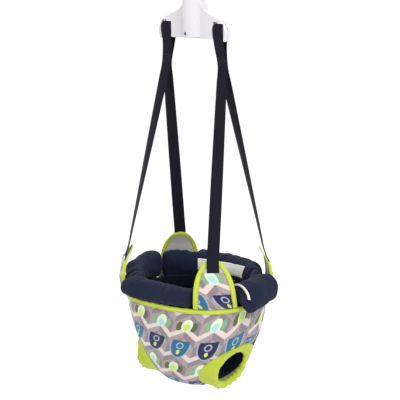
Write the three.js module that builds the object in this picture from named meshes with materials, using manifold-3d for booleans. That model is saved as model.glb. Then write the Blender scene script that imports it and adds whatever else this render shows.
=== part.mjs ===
// Doorway baby jumper. Millimetres, +Z up. The rider faces -Y and their left side is +X.
// The origin is the middle of the grip of the doorway clamp. From top to bottom: clamp,
// adjustable hanging strap, spring unit, spreader, seat straps and padded bucket seat.
import * as THREE from 'three';
import { mergeVertices } from 'three/addons/utils/BufferGeometryUtils.js';
import Module from 'manifold-3d';

const wasm = await Module();
wasm.setup();

// ---------------------------------------------------------------- driving dimensions

const GAP = 0.35; // clearance between pieces that touch
const WEB_W = 30; // webbing width
const WEB_T = 1.6; // webbing thickness

// Doorway clamp
const GRIP = 115; // wall that the pads hold
const PIVOT_Z = -110; // pivot bolt below the middle of the grip
const ARM_T = 4;
const ARM_HALF_W = 42;
const BOLT_R = 4;
const SPOOL_R = 7.5; // the hanging strap loops over this spool

// Hanging strap and spring unit
const STRAP_DROP = 180; // pivot bolt to hanger bar
const BAR_Z = PIVOT_Z - STRAP_DROP;
const BAR_R = 4;
const ADJUSTER_Z = PIVOT_Z - 60;
const CAP_TOP = BAR_Z - 14;
const CAP_BOTTOM = CAP_TOP - 8;
const GUARD_R = 23;
const GUARD_WALL = 2.5;
const GUARD_LENGTH = 130;
const UPPER_PIN_Z = CAP_BOTTOM - 14;
const SPRING_R = 13.5; // coil radius at the wire's middle
const WIRE_R = 2.1;
const COIL_TURNS = 22;
const COIL_PITCH = 4.4;
const HOOK_R = 6.5;

// Spreader. SPREADER_Z is the bottom edge of its plate.
const NECK_HEIGHT = 175;
const SPREADER_Z = CAP_BOTTOM - 3 - NECK_HEIGHT;
const NECK_R = 29;
const NECK_WALL = 3.5;
const PLATE_HALF_T = 10.5;
const HOOK_X = 83; // middle of each strap slot
const SLOT_HALF_W = 16.3;
const ROLLER_R = 11.2;
const ROLLER_Z = SPREADER_Z + 25.3;
const LOWER_PIN_Z = SPREADER_Z + 27;
const PIN_R = 3;

// Seat
const STRAP_TOP = ROLLER_Z + ROLLER_R + GAP + WEB_T; // top of the loop over the roller
const PINCH = { x: 90.3, drop: 103 }; // where the two legs of a strap part
const TAB_TOP = { x: 139, y: 100.2, z: STRAP_TOP - 565 };
const TAB_HEIGHT = 119;
const TAB_HALF_W = 50;
const TAB_BULGE = 17; // the collar behind a tab pushes its middle outward
const TAB_LEAN = 7; // beside the strap, a tab's top leans in
const TAB_SHIFT = 6; // a tab's base lies nearer the X axis than its top
const TAB_FACE_END = 0.79; // the printed face stops here, and the strap goes in behind it
const RIM_Z = TAB_TOP.z - TAB_HEIGHT;
const RIM_POWER = 2.4; // superellipse power at the rim
const BASE_POWER = 2.05;
const SEAT_LEVELS = [
  // drop below the rim, half width, half depth
  [0, 180, 147], [42, 176, 142], [90, 165, 133], [128, 150, 123], [168, 129, 109],
  [200, 104, 93], [220, 74, 69], [228, 38, 36],
];
const BACK_BULGE = [1, 1.045, 1.08, 1.08, 1.05, 1, 1, 1]; // the back is this much deeper, by level
const SHELL_T = 2;
const LINER_T = 3;
const COLLAR_FRONT = 50; // height of the collar above the rim
const COLLAR_BACK = 76;
const COLLAR_TILT = 7; // the back's right end stands higher than its left end
const COLLAR_IN = 42; // how far the collar stands in from the rim
const COLLAR_OUT = 20; // how far it hangs out over the rim, and how much more at the right
const COLLAR_OUT_RIGHT = 11;
const RING_STEPS = 36;

// Leg holes: an oval in a plane that faces sideways and a little down
const LEG = { x: 125, y: -15, drop: 166, long: 75, short: 61, outLeft: 12, outRight: 3 };
const MOUTH = { long: -10, short: 15 }; // how far the cuff's mouth lies off the hole's middle
const LEG_NORMAL = new THREE.Vector3(0.939, -0.053, -0.341).normalize();
const LEG_LONG = new THREE.Vector3(0.23, 0.83, 0.51);
const CUFF_T = 3;

// ---------------------------------------------------------------- materials

const finish = (color, roughness, metalness = 0) =>
  () => new THREE.MeshStandardMaterial({ color, roughness, metalness });
const whitePlastic = finish(0xebebee, 0.25);
const greyPlastic = finish(0x33353a, 0.45);
const zincSteel = finish(0xb4b7ba, 0.35, 1);
const springSteel = finish(0x8c8f94, 0.3, 1);
const rubber = finish(0x2b2c2e, 0.8);
const webbing = finish(0x22222c, 0.85);
const navyFabric = finish(0x2b3349, 0.9);
const limeFabric = finish(0xc3d63c, 0.85);
const printedFabric = finish(0xa59a9c, 0.9);
const greyFabric = finish(0xaaa79f, 0.9);
const whiteFabric = finish(0xe4e2dc, 0.8);

// ---------------------------------------------------------------- helpers

const group = new THREE.Group();

function add(name, geometry, material) {
  const mesh = new THREE.Mesh(geometry, material());
  mesh.name = name;
  group.add(mesh);
}

// A closed three.js geometry as a manifold, and back
function solid(geometry) {
  const bare = geometry.clone();
  bare.deleteAttribute('normal');
  bare.deleteAttribute('uv');
  const merged = mergeVertices(bare, 1e-4);
  return new wasm.Manifold(new wasm.Mesh({
    numProp: 3,
    vertProperties: new Float32Array(merged.attributes.position.array),
    triVerts: new Uint32Array(merged.index.array),
  }));
}

function toGeometry(manifold) {
  const mesh = manifold.getMesh();
  const geometry = new THREE.BufferGeometry();
  geometry.setAttribute('position', new THREE.BufferAttribute(mesh.vertProperties, 3));
  geometry.setIndex(new THREE.BufferAttribute(mesh.triVerts, 1));
  return geometry;
}

const join = (first, ...rest) => rest.reduce((sum, next) => sum.add(next), first);
const cut = (first, ...rest) => rest.reduce((left, next) => left.subtract(next), first);

function box(x0, x1, y0, y1, z0, z1) {
  const geometry = new THREE.BoxGeometry(x1 - x0, y1 - y0, z1 - z0);
  return geometry.translate((x0 + x1) / 2, (y0 + y1) / 2, (z0 + z1) / 2);
}

// Cylinders along X and Y, given by their ends
function cylinderX(radius, x0, x1, y, z, steps = 18) {
  const geometry = new THREE.CylinderGeometry(radius, radius, x1 - x0, steps);
  return geometry.rotateZ(Math.PI / 2).translate((x0 + x1) / 2, y, z);
}

function cylinderY(radius, y0, y1, x, z, steps = 14) {
  const geometry = new THREE.CylinderGeometry(radius, radius, y1 - y0, steps);
  return geometry.translate(x, (y0 + y1) / 2, z);
}

const cylinderZ = (radius, z0, z1, steps = 28) => new THREE.CylinderGeometry(
  radius, radius, z1 - z0, steps).rotateX(Math.PI / 2).translate(0, 0, (z0 + z1) / 2);

// A ring round Z with a rectangular section
function sleeve(inner, outer, z0, z1, steps = 28) {
  const outline = [[inner, z0], [outer, z0], [outer, z1], [inner, z1], [inner, z0]];
  const points = outline.map(([r, z]) => new THREE.Vector2(r, z));
  return new THREE.LatheGeometry(points, steps).rotateX(Math.PI / 2);
}

// A shape drawn in (y, z), extruded along X, and one drawn in (x, z), extruded along Y
function extrudeX(shape, x0, x1) {
  const geometry = new THREE.ExtrudeGeometry(shape, { depth: x1 - x0, bevelEnabled: false });
  const axes = new THREE.Matrix4().makeBasis(
    new THREE.Vector3(0, 1, 0), new THREE.Vector3(0, 0, 1), new THREE.Vector3(1, 0, 0));
  return geometry.applyMatrix4(axes).translate(x0, 0, 0);
}

function extrudeY(shape, y0, y1) {
  const geometry = new THREE.ExtrudeGeometry(shape, { depth: y1 - y0, bevelEnabled: false });
  return geometry.rotateX(Math.PI / 2).translate(0, y1, 0);
}

const shapeOf = (points) => new THREE.Shape(points.map(([u, v]) => new THREE.Vector2(u, v)));

// A strip of even thickness along a polyline, as a closed outline
function stripShape(points, thickness) {
  const line = points.map(([u, v]) => new THREE.Vector2(u, v));
  const sides = line.map((point, i) => {
    const before = line[Math.max(i - 1, 0)];
    const after = line[Math.min(i + 1, line.length - 1)];
    const inward = point.clone().sub(before).normalize();
    const outward = after.clone().sub(point).normalize();
    const along = inward.add(outward).normalize();
    const turn = Math.max(0.5, outward.lengthSq() ? along.dot(outward) : 1);
    const normal = new THREE.Vector2(-along.y, along.x).multiplyScalar(thickness / 2 / turn);
    return [point.clone().add(normal), point.clone().sub(normal)];
  });
  const left = sides.map((side) => side[0]);
  const right = sides.map((side) => side[1]).reverse();
  return new THREE.Shape([...left, ...right]);
}

// A closed body through rings of equal length. A looped body joins its last ring to its
// first, and any other is closed at each end by a strip between the ring's two sides.
function loft(rings, looped = false) {
  const size = rings[0].length;
  const positions = rings.flat().flatMap((p) => [p.x, p.y, p.z]);
  const index = [];
  const spans = looped ? rings.length : rings.length - 1;
  for (let i = 0; i < spans; i += 1) {
    const a = i * size;
    const b = ((i + 1) % rings.length) * size;
    for (let j = 0; j < size; j += 1) {
      const k = (j + 1) % size;
      index.push(a + j, b + j, b + k, a + j, b + k, a + k);
    }
  }
  if (!looped) {
    const last = (rings.length - 1) * size;
    for (let j = 0; 2 * j < size - 2; j += 1) {
      const [a, b, c, d] = [j, j + 1, size - 2 - j, size - 1 - j];
      index.push(a, c, d, last + a, last + d, last + c);
      if (c > b) index.push(a, b, c, last + a, last + c, last + b);
    }
  }
  const geometry = new THREE.BufferGeometry();
  geometry.setAttribute('position', new THREE.Float32BufferAttribute(positions, 3));
  geometry.setIndex(signedVolume(positions, index) < 0 ? index.reverse() : index);
  return geometry;
}

function signedVolume(positions, index) {
  const corner = (i) => new THREE.Vector3().fromArray(positions, index[i] * 3);
  let volume = 0;
  for (let i = 0; i < index.length; i += 3) {
    volume += corner(i).dot(corner(i + 1).cross(corner(i + 2))) / 6;
  }
  return volume;
}

// A flat band along stations of { at, across }: across points along the band's width
function band(stations, width, thickness, looped = false) {
  const last = stations.length - 1;
  const rings = stations.map(({ at, across }, i) => {
    const before = stations[i === 0 ? (looped ? last : 0) : i - 1].at;
    const after = stations[i === last ? (looped ? 0 : last) : i + 1].at;
    const along = after.clone().sub(before).normalize();
    const wide = across.clone().addScaledVector(along, -across.dot(along)).normalize();
    const thick = new THREE.Vector3().crossVectors(along, wide);
    const corner = (u, v) => at.clone()
      .addScaledVector(wide, u * width / 2).addScaledVector(thick, v * thickness / 2);
    return [corner(-1, -1), corner(1, -1), corner(1, 1), corner(-1, 1)];
  });
  return loft(rings, looped);
}

const X_AXIS = new THREE.Vector3(1, 0, 0);
const lerp = THREE.MathUtils.lerp;
const smooth = THREE.MathUtils.smoothstep;

// ---------------------------------------------------------------- doorway clamp

// Side = +1 is the rear arm (+Y), -1 the front arm. The arms don't cross: squeezing the
// handles below the pivot opens the jaws above it.
function clampArm(side) {
  const at = ([y, z]) => [side * y, PIVOT_Z + z];
  const jaw = [[4, 5], [18, 11], [70, 19], [82, 24], [88, 36], [89, 108], [86, 119], [79, 125],
    [72, 123], [68, 116], [68, 98]];
  const handle = [[3, -5], [20, -28], [32, -50], [33, -62]];
  const strips = [jaw, handle].map((points) => solid(
    extrudeX(stripShape(points.map(at), ARM_T), -ARM_HALF_W, ARM_HALF_W)));
  const reach = side > 0 ? [21.8, 31.6] : [32, ARM_HALF_W];
  const swept = (x0, x1) => solid(cylinderX(12, x0, x1, 0, PIVOT_Z));
  const room = side > 0
    ? [swept(-21.4, 21.4), swept(31.8, 50), swept(-50, -31.8)]
    : [swept(-31.8, 31.8)];
  const window = solid(box(-22, 22, -60, 60, PIVOT_Z - 46, PIVOT_Z - 9));
  const knuckles = [reach, reach.map((x) => -x).reverse()].map(([x0, x1]) => solid(
    cylinderX(9, x0, x1, 0, PIVOT_Z)));
  const bore = solid(cylinderX(BOLT_R + GAP, -50, 50, 0, PIVOT_Z));
  return toGeometry(cut(join(cut(join(...strips), ...room, window), ...knuckles), bore));
}

function clampPad(side) {
  const face = GRIP / 2;
  const back = 66 - GAP;
  const [y0, y1] = side > 0 ? [face, back] : [-back, -face];
  return box(-36, 36, y0, y1, -12, 12);
}

function torsionSpring() {
  const turns = 2;
  const x0 = 18.2;
  const rest = 0.2; // each leg's angle from straight down
  const radius = 7;
  const sweep = turns * 2 * Math.PI + 2 * rest;
  const point = (r, angle, x) => new THREE.Vector3(
    x, r * Math.sin(angle), PIVOT_Z - r * Math.cos(angle));
  const points = [point(30, rest, x0), point(18, rest, x0)];
  const steps = 16;
  for (let i = 0; i <= steps; i += 1) {
    points.push(point(radius, rest + 0.4 + (sweep - 0.8) * (i / steps), x0 + 2.4 * (i / steps)));
  }
  points.push(point(18, -rest, x0 + 2.4), point(30, -rest, x0 + 2.4));
  const curve = new THREE.CatmullRomCurve3(points);
  const section = new THREE.Shape().absarc(0, 0, 0.8, 0, 2 * Math.PI);
  return new THREE.ExtrudeGeometry(section, {
    steps: 26, curveSegments: 5, extrudePath: curve, bevelEnabled: false,
  });
}

add('clamp_arm_front', clampArm(-1), whitePlastic);
add('clamp_arm_rear', clampArm(1), whitePlastic);
add('clamp_pad_front', clampPad(-1), rubber);
add('clamp_pad_rear', clampPad(1), rubber);
add('clamp_pivot_bolt', toGeometry(join(
  solid(cylinderX(BOLT_R, -44, 51, 0, PIVOT_Z)),
  solid(cylinderX(7.5, -47, -ARM_HALF_W - GAP, 0, PIVOT_Z)))), zincSteel);
add('clamp_pivot_nut', toGeometry(cut(
  solid(cylinderX(7, ARM_HALF_W + GAP, 48.5, 0, PIVOT_Z, 6)),
  solid(cylinderX(BOLT_R + 0.3, 40, 52, 0, PIVOT_Z)))), zincSteel);
add('clamp_strap_spool', toGeometry(cut(
  join(solid(cylinderX(SPOOL_R, -21, 16.8, 0, PIVOT_Z)),
    solid(cylinderX(11, -18.5, -16.2, 0, PIVOT_Z)),
    solid(cylinderX(11, 15.6, 16.8, 0, PIVOT_Z))),
  solid(cylinderX(BOLT_R + GAP, -40, 40, 0, PIVOT_Z)))), greyPlastic);
add('clamp_torsion_spring', torsionSpring(), springSteel);

// ---------------------------------------------------------------- hanging strap

// The strap folds over the spool, threads the adjuster, goes under the hanger bar and comes
// back up to the adjuster's lower bar. Its route is drawn in (y, z).
function hangingStrap() {
  const spool = SPOOL_R + GAP + WEB_T / 2;
  const bar = BAR_R + GAP + WEB_T / 2;
  const arc = (radius, z, from, to, steps) => Array.from({ length: steps + 1 }, (_, i) => {
    const angle = lerp(from, to, i / steps);
    return [radius * Math.cos(angle), z + radius * Math.sin(angle)];
  });
  const quarter = Math.PI / 2;
  const a = ADJUSTER_Z;
  const route = [
    [2.1, PIVOT_Z - 34], [2.3, PIVOT_Z - 24], [5.4, PIVOT_Z - 12],
    ...arc(spool, PIVOT_Z, -0.5, 2 * quarter + 0.5, 12),
    [-4, PIVOT_Z - 13], [-0.4, PIVOT_Z - 25], [0.1, PIVOT_Z - 36],
    [2.9, a + 22], [3.1, a + 12.5], [2.2, a + 9], [-1.6, a + 4], [-2.9, a + 1],
    [-2.9, a - 1.5], [-2.6, a - 3], [1, a - 6.5], [4.6, a - 10], [5.3, a - 13],
    [5.2, a - 17], [4.2, a - 24], [3.2, a - 34], [3.2, lerp(a, BAR_Z, 0.6)], [3.6, BAR_Z + 16],
    ...arc(bar, BAR_Z, 0.1, -2 * quarter - 0.1, 8),
    [-3.6, BAR_Z + 16], [-2.9, lerp(a, BAR_Z, 0.6)], [-2.9, a - 34], [-2.9, a - 16],
    [-2.7, a - 13], [-1.6, a - 11.3], [0, a - 10.8], [1.6, a - 11.3], [2.7, a - 13],
    [2.8, a - 16], [2.8, a - 19.5],
  ];
  const stations = route.map(([y, z]) => ({ at: new THREE.Vector3(0, y, z), across: X_AXIS }));
  return band(stations, WEB_W, WEB_T);
}

function strapAdjuster() {
  const frame = solid(box(-20.5, 20.5, -1.5, 1.5, ADJUSTER_Z - 17, ADJUSTER_Z + 14.5));
  const slots = [[2, 10.5], [-13, -2]].map(([z0, z1]) => solid(
    box(-16, 16, -9, 9, ADJUSTER_Z + z0, ADJUSTER_Z + z1)));
  return toGeometry(cut(frame, ...slots));
}

add('hanging_strap', hangingStrap(), webbing);
add('strap_adjuster', strapAdjuster(), greyPlastic);

// ---------------------------------------------------------------- spring unit

function hangerCap() {
  const ear = shapeOf([[-9, CAP_TOP - 1], [9, CAP_TOP - 1], [9, BAR_Z + 2], [5, BAR_Z + 8],
    [-5, BAR_Z + 8], [-9, BAR_Z + 2]]);
  const ears = [[17.5, 23], [-23, -17.5]].map(([x0, x1]) => solid(extrudeX(ear, x0, x1)));
  const flange = solid(cylinderZ(28, CAP_BOTTOM, CAP_TOP));
  const spigot = solid(cylinderZ(GUARD_R - GUARD_WALL - GAP, CAP_BOTTOM - 22, CAP_BOTTOM + 1));
  const hollow = solid(cylinderZ(16.6, CAP_BOTTOM - 40, CAP_BOTTOM - 2));
  const holes = [
    solid(cylinderX(BAR_R + GAP, -40, 40, 0, BAR_Z)),
    solid(cylinderY(PIN_R + GAP, -40, 40, 0, UPPER_PIN_Z)),
  ];
  return toGeometry(cut(join(flange, spigot, ...ears), hollow, ...holes));
}

// The coil and its end loops, which lie in the XZ plane round the two pins
function bounceSpring() {
  const middle = (UPPER_PIN_Z + LOWER_PIN_Z) / 2;
  const coilHeight = COIL_TURNS * COIL_PITCH;
  const bottom = middle - coilHeight / 2;
  const loop = (pinZ, side) => [200, 150, 100, 50, 0].map((degrees) => {
    const angle = THREE.MathUtils.degToRad(degrees);
    return new THREE.Vector3(HOOK_R * Math.cos(angle), 0, pinZ + side * HOOK_R * Math.sin(angle));
  });
  const points = loop(LOWER_PIN_Z, -1);
  points.push(new THREE.Vector3(HOOK_R + 1, 0, lerp(LOWER_PIN_Z, bottom, 0.55)));
  const perTurn = 7;
  for (let i = 0; i <= COIL_TURNS * perTurn; i += 1) {
    const angle = (i / perTurn) * 2 * Math.PI;
    points.push(new THREE.Vector3(SPRING_R * Math.cos(angle), SPRING_R * Math.sin(angle),
      bottom + (i / (COIL_TURNS * perTurn)) * coilHeight));
  }
  points.push(new THREE.Vector3(HOOK_R + 1, 0, lerp(UPPER_PIN_Z, bottom + coilHeight, 0.55)));
  points.push(...loop(UPPER_PIN_Z, 1).reverse());
  // Carry one direction along the wire, so that its section never turns over
  let carried = new THREE.Vector3(0, 1, 0);
  return loft(points.map((at, i) => {
    const before = points[Math.max(i - 1, 0)];
    const after = points[Math.min(i + 1, points.length - 1)];
    const along = after.clone().sub(before).normalize();
    carried = carried.clone().addScaledVector(along, -carried.dot(along)).normalize();
    const other = new THREE.Vector3().crossVectors(along, carried);
    return Array.from({ length: 5 }, (_, j) => {
      const angle = (j / 5) * 2 * Math.PI;
      return at.clone().addScaledVector(carried, WIRE_R * Math.cos(angle))
        .addScaledVector(other, WIRE_R * Math.sin(angle));
    });
  }));
}

add('hanger_cap', hangerCap(), whitePlastic);
add('hanger_bar', toGeometry(join(
  solid(cylinderX(BAR_R, -25, 26, 0, BAR_Z)),
  solid(cylinderX(6.5, -25.5, -23 - GAP, 0, BAR_Z)))), zincSteel);
add('guard_tube', sleeve(
  GUARD_R - GUARD_WALL, GUARD_R, CAP_BOTTOM - GUARD_LENGTH, CAP_BOTTOM - GAP), greyPlastic);
add('spring_upper_pin', cylinderY(PIN_R, -19.6, 19.6, 0, UPPER_PIN_Z), zincSteel);
add('bounce_spring', bounceSpring(), springSteel);
add('spring_lower_pin', cylinderY(PIN_R, -27, 27, 0, LOWER_PIN_Z), zincSteel);

// ---------------------------------------------------------------- spreader

const SCREWS = [
  // name, x, height above the plate's bottom edge, head side (-1 front, +1 rear)
  ['spreader_base_screw', -6, 12, -1],
  ['screw_wing_left', 50, 30, 1],
  ['screw_wing_right', -50, 30, 1],
];
const SCREW_R = 1.6;
const SCREW_HEAD_R = 3.6;

// The plate with its two hooks, drawn in (x, height above the bottom edge)
function spreaderOutline() {
  const inner = HOOK_X - SLOT_HALF_W;
  const outer = HOOK_X + SLOT_HALF_W;
  const half = [
    [26, 1], [inner - 2, 0], [inner, 2], [inner, 41], [inner + 2, 42.5], [outer - 5, 42.5],
    [outer - 1, 39], [outer, 33], [outer, -2], [outer + 2, -4.5],
    [outer + 4.5, -2], [106.6, 10], [106.4, 22], [104, 31], [98, 40], [88, 48], [72, 56.5],
    [54, 63], [42, 69.5], [34, 77], [29.5, 86], [20, 92],
  ];
  const mirrored = half.map(([x, z]) => [-x, z]).reverse();
  return shapeOf([...half, ...mirrored].map(([x, z]) => [x, SPREADER_Z + z]));
}

// side -1 is the front shell, +1 the rear shell
function spreaderShell(side) {
  const inside = (depth, thin = GAP / 2) => (side > 0 ? [thin, depth] : [-depth, -thin]);
  const z = (height) => SPREADER_Z + height;
  const halfSpace = solid(box(-130, 130, ...inside(60), z(-20), z(NECK_HEIGHT + 20)));
  const plate = solid(extrudeY(spreaderOutline(), ...inside(PLATE_HALF_T)));
  const neck = solid(cylinderZ(NECK_R, z(4), z(NECK_HEIGHT)));
  const bore = solid(cylinderZ(NECK_R - NECK_WALL, z(17.5), z(NECK_HEIGHT + 5)));
  const pockets = [1, -1].map((mirror) => {
    const points = [[36, 5], [62, 5], [62, 54], [54, 57], [36, 66]];
    const shape = shapeOf(points.map(([x, h]) => [mirror * x, z(h)]));
    return solid(extrudeY(shape, ...inside(PLATE_HALF_T - 2.5, 0)));
  });
  const bosses = SCREWS.slice(1).map(([, x, h]) => solid(
    cylinderY(5, ...inside(PLATE_HALF_T - 2), x, z(h))));
  const tenons = [1, -1].map((mirror) => solid(cylinderX(
    5, ...[mirror * (HOOK_X - 20.5), mirror * (HOOK_X + 20.5)].sort((a, b) => a - b),
    0, ROLLER_Z)));
  const screwHoles = SCREWS.flatMap(([, x, h, head]) => {
    const depth = Math.abs(x) < 10 ? NECK_R : PLATE_HALF_T;
    const ends = (near, far) => [head * near, head * far].sort((a, b) => a - b);
    return [
      solid(cylinderY(SCREW_R + 0.4, ...ends(2.5 - depth, depth + 3), x, z(h), 8)),
      solid(cylinderY(SCREW_HEAD_R + 0.6, ...ends(depth - 3.6, 40), x, z(h))),
    ];
  });
  const pinHole = solid(cylinderY(PIN_R + GAP, -27.4, 27.4, 0, LOWER_PIN_Z));
  const open = cut(plate, ...pockets);
  const body = cut(join(open, neck.intersect(halfSpace), ...bosses), bore);
  return toGeometry(cut(body, ...tenons, ...screwHoles, pinHole));
}

function spreaderScrew([name, x, height, head]) {
  const depth = Math.abs(x) < 10 ? NECK_R : PLATE_HALF_T;
  const under = depth - 3.6 + GAP;
  const shank = cylinderY(SCREW_R, -(depth - 3.5), under + 0.5, x, SPREADER_Z + height, 8);
  const top = cylinderY(SCREW_HEAD_R, under, under + 2.4, x, SPREADER_Z + height);
  const geometry = toGeometry(join(solid(shank), solid(top)));
  if (head < 0) geometry.rotateZ(Math.PI).translate(2 * x, 0, 0);
  add(name, geometry, zincSteel);
}

add('spreader_front_shell', spreaderShell(-1), whitePlastic);
add('spreader_rear_shell', spreaderShell(1), whitePlastic);
SCREWS.forEach(spreaderScrew);
[['strap_roller_left', 1], ['strap_roller_right', -1]].forEach(([name, side]) => {
  const x = side * HOOK_X;
  const end = SLOT_HALF_W - 1;
  add(name, toGeometry(join(
    solid(cylinderX(ROLLER_R, x - end, x + end, 0, ROLLER_Z)),
    solid(cylinderX(5 - GAP, x - 20, x + 20, 0, ROLLER_Z)))), greyPlastic);
});

// ---------------------------------------------------------------- seat surface

const polar = (a, b, power, angle) => (
  (Math.abs(Math.cos(angle)) / a) ** power + (Math.abs(Math.sin(angle)) / b) ** power
) ** (-1 / power);

// The bucket's surface: radius and height at a level (0 is the rim) and an angle
function seatPoint(level, angle) {
  const [drop, a, b] = SEAT_LEVELS[level];
  const power = lerp(RIM_POWER, BASE_POWER, level / (SEAT_LEVELS.length - 1));
  const depth = Math.sin(angle) > 0 ? b * BACK_BULGE[level] : b;
  return { r: polar(a, depth, power, angle), z: RIM_Z - drop };
}

// The same, moved out along the surface's normal
function seatOffset(level, angle, offset) {
  const here = seatPoint(level, angle);
  const above = seatPoint(Math.max(level - 1, 0), angle);
  const below = seatPoint(Math.min(level + 1, SEAT_LEVELS.length - 1), angle);
  const slope = new THREE.Vector2(above.z - below.z, below.r - above.r).normalize();
  const last = level === SEAT_LEVELS.length - 1;
  const normal = last ? new THREE.Vector2(0.15, -0.99) : slope;
  const radius = here.r + offset * normal.x;
  const z = level === 0 ? here.z : here.z + offset * normal.y;
  return new THREE.Vector3(radius * Math.cos(angle), radius * Math.sin(angle), z);
}

const ringAngles = Array.from({ length: RING_STEPS }, (_, i) => (i / RING_STEPS) * 2 * Math.PI);
const seatRing = (level, offset) => ringAngles.map((angle) => seatOffset(level, angle, offset));

function bucket(inner, outer) {
  const levels = SEAT_LEVELS.map((_, i) => i);
  const inside = levels.map((level) => seatRing(level, inner)).reverse();
  const outside = levels.map((level) => seatRing(level, outer));
  return loft([...inside, ...outside]);
}

// Distance from the leg hole's plane, along its normal, at which the bucket is met
function legDepth(point) {
  const inside = (p) => {
    const drop = RIM_Z - p.z;
    const below = SEAT_LEVELS.findIndex(([d]) => d > drop);
    if (drop < 0) return true;
    if (below < 0) return false;
    const [d0, a0, b0] = SEAT_LEVELS[below - 1];
    const [d1, a1, b1] = SEAT_LEVELS[below];
    const t = (drop - d0) / (d1 - d0);
    const power = lerp(RIM_POWER, BASE_POWER, (below - 1 + t) / (SEAT_LEVELS.length - 1));
    const bulge = p.y > 0 ? lerp(BACK_BULGE[below - 1], BACK_BULGE[below], t) : 1;
    return (Math.abs(p.x) / lerp(a0, a1, t)) ** power
      + (Math.abs(p.y) / lerp(b0, b1, t) / bulge) ** power < 1;
  };
  let depth = 60;
  while (depth > -60 && !inside(point.clone().addScaledVector(LEG_NORMAL, depth))) depth -= 0.5;
  return depth;
}

const legCentre = new THREE.Vector3(LEG.x, LEG.y, RIM_Z - LEG.drop);
const legLong = LEG_LONG.clone().addScaledVector(LEG_NORMAL, -LEG_LONG.dot(LEG_NORMAL)).normalize();
const legShort = new THREE.Vector3().crossVectors(LEG_NORMAL, legLong);
const legPoint = (angle, scale, depth, shift = 0) => legCentre.clone()
  .addScaledVector(legLong, LEG.long * scale * Math.cos(angle) + MOUTH.long * shift)
  .addScaledVector(legShort, LEG.short * scale * Math.sin(angle) + MOUTH.short * shift)
  .addScaledVector(LEG_NORMAL, depth);

const mirrorX = (geometry) => {
  const flipped = geometry.clone().scale(-1, 1, 1);
  const { array } = flipped.index;
  for (let i = 0; i < array.length; i += 3) [array[i], array[i + 1]] = [array[i + 1], array[i]];
  return flipped;
};

function legCutter() {
  const angles = Array.from({ length: 26 }, (_, i) => (i / 26) * 2 * Math.PI);
  return loft([-60, 60].map((depth) => angles.map((angle) => legPoint(angle, 1.012, depth))));
}

function legCuff(out) {
  const steps = 24;
  const rings = Array.from({ length: steps }, (_, i) => {
    const angle = (i / steps) * 2 * Math.PI;
    const surface = legDepth(legPoint(angle, 0.99, 0));
    return [
      legPoint(angle, 1, surface - CUFF_T), legPoint(angle, 1, surface + CUFF_T / 2),
      legPoint(angle, 0.9, lerp(surface, out, 0.45) + 5, 0.35),
      legPoint(angle, 0.68, out + 1, 1), legPoint(angle, 0.65, out - 2, 1),
      legPoint(angle, 0.84, lerp(surface, out, 0.45), 0.4),
      legPoint(angle, 0.95, surface - CUFF_T),
    ];
  });
  return loft(rings, true);
}

const legCutters = [legCutter(), mirrorX(legCutter())].map(solid);
const shellInner = -SHELL_T / 2;
const linerOuter = shellInner - 0.9;
add('seat_outer_shell', toGeometry(cut(
  solid(bucket(shellInner, SHELL_T / 2)), ...legCutters)), printedFabric);
add('seat_liner', toGeometry(cut(
  solid(bucket(linerOuter - LINER_T, linerOuter)), ...legCutters)), navyFabric);
add('leg_cuff_right', mirrorX(legCuff(LEG.outRight)), limeFabric);
add('leg_cuff_left', legCuff(LEG.outLeft), limeFabric);

function rimBinding() {
  const inner = SHELL_T / 2 + GAP;
  const rings = ringAngles.map((angle) => {
    const { r } = seatPoint(0, angle);
    const flare = Math.max(0, 9 * (seatPoint(1, angle).r - r) / SEAT_LEVELS[1][0]);
    const at = (offset, z) => new THREE.Vector3(
      (r + offset) * Math.cos(angle), (r + offset) * Math.sin(angle), RIM_Z + z);
    return [at(inner + flare, -9), at(inner + flare + 2, -9), at(inner + 2, 2), at(inner, 2)];
  });
  return loft(rings, true);
}
add('rim_binding', rimBinding(), limeFabric);

function seatBasePad() {
  const z = RIM_Z - SEAT_LEVELS[SEAT_LEVELS.length - 1][0] + 7;
  const level = (scale, height) => ringAngles.filter((_, i) => i % 2 === 0).map((angle) => (
    new THREE.Vector3(50 * scale * Math.cos(angle), 40 * scale * Math.sin(angle), z + height)));
  return loft([level(0.9, 0), level(1, 3.5), level(0.92, 7.5)]);
}
add('seat_base_pad', seatBasePad(), navyFabric);

// ---------------------------------------------------------------- tabs

const CORNER_ANGLE = Math.atan2(TAB_TOP.y, TAB_TOP.x);

// The rim's outline as points with their distance round it, so that a tab can follow it
const rimTrack = (() => {
  const steps = 720;
  const track = [];
  let distance = 0;
  for (let i = 0; i <= steps; i += 1) {
    const angle = (i / steps) * Math.PI;
    const r = polar(SEAT_LEVELS[0][1], SEAT_LEVELS[0][2], RIM_POWER, angle);
    const at = new THREE.Vector2(r * Math.cos(angle), r * Math.sin(angle));
    if (i > 0) distance += at.distanceTo(track[i - 1].at);
    track.push({ at, distance, angle });
  }
  return track;
})();
const cornerDistance = rimTrack.find(({ angle }) => angle >= CORNER_ANGLE).distance;
const onRim = (offset) => rimTrack.find(
  ({ distance }) => distance >= Math.max(cornerDistance + offset, 0)).at;

// The tangent of the rim at the corner, level, pointing away from the X axis
const cornerTangent = onRim(4).clone().sub(onRim(-4)).normalize();

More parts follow.
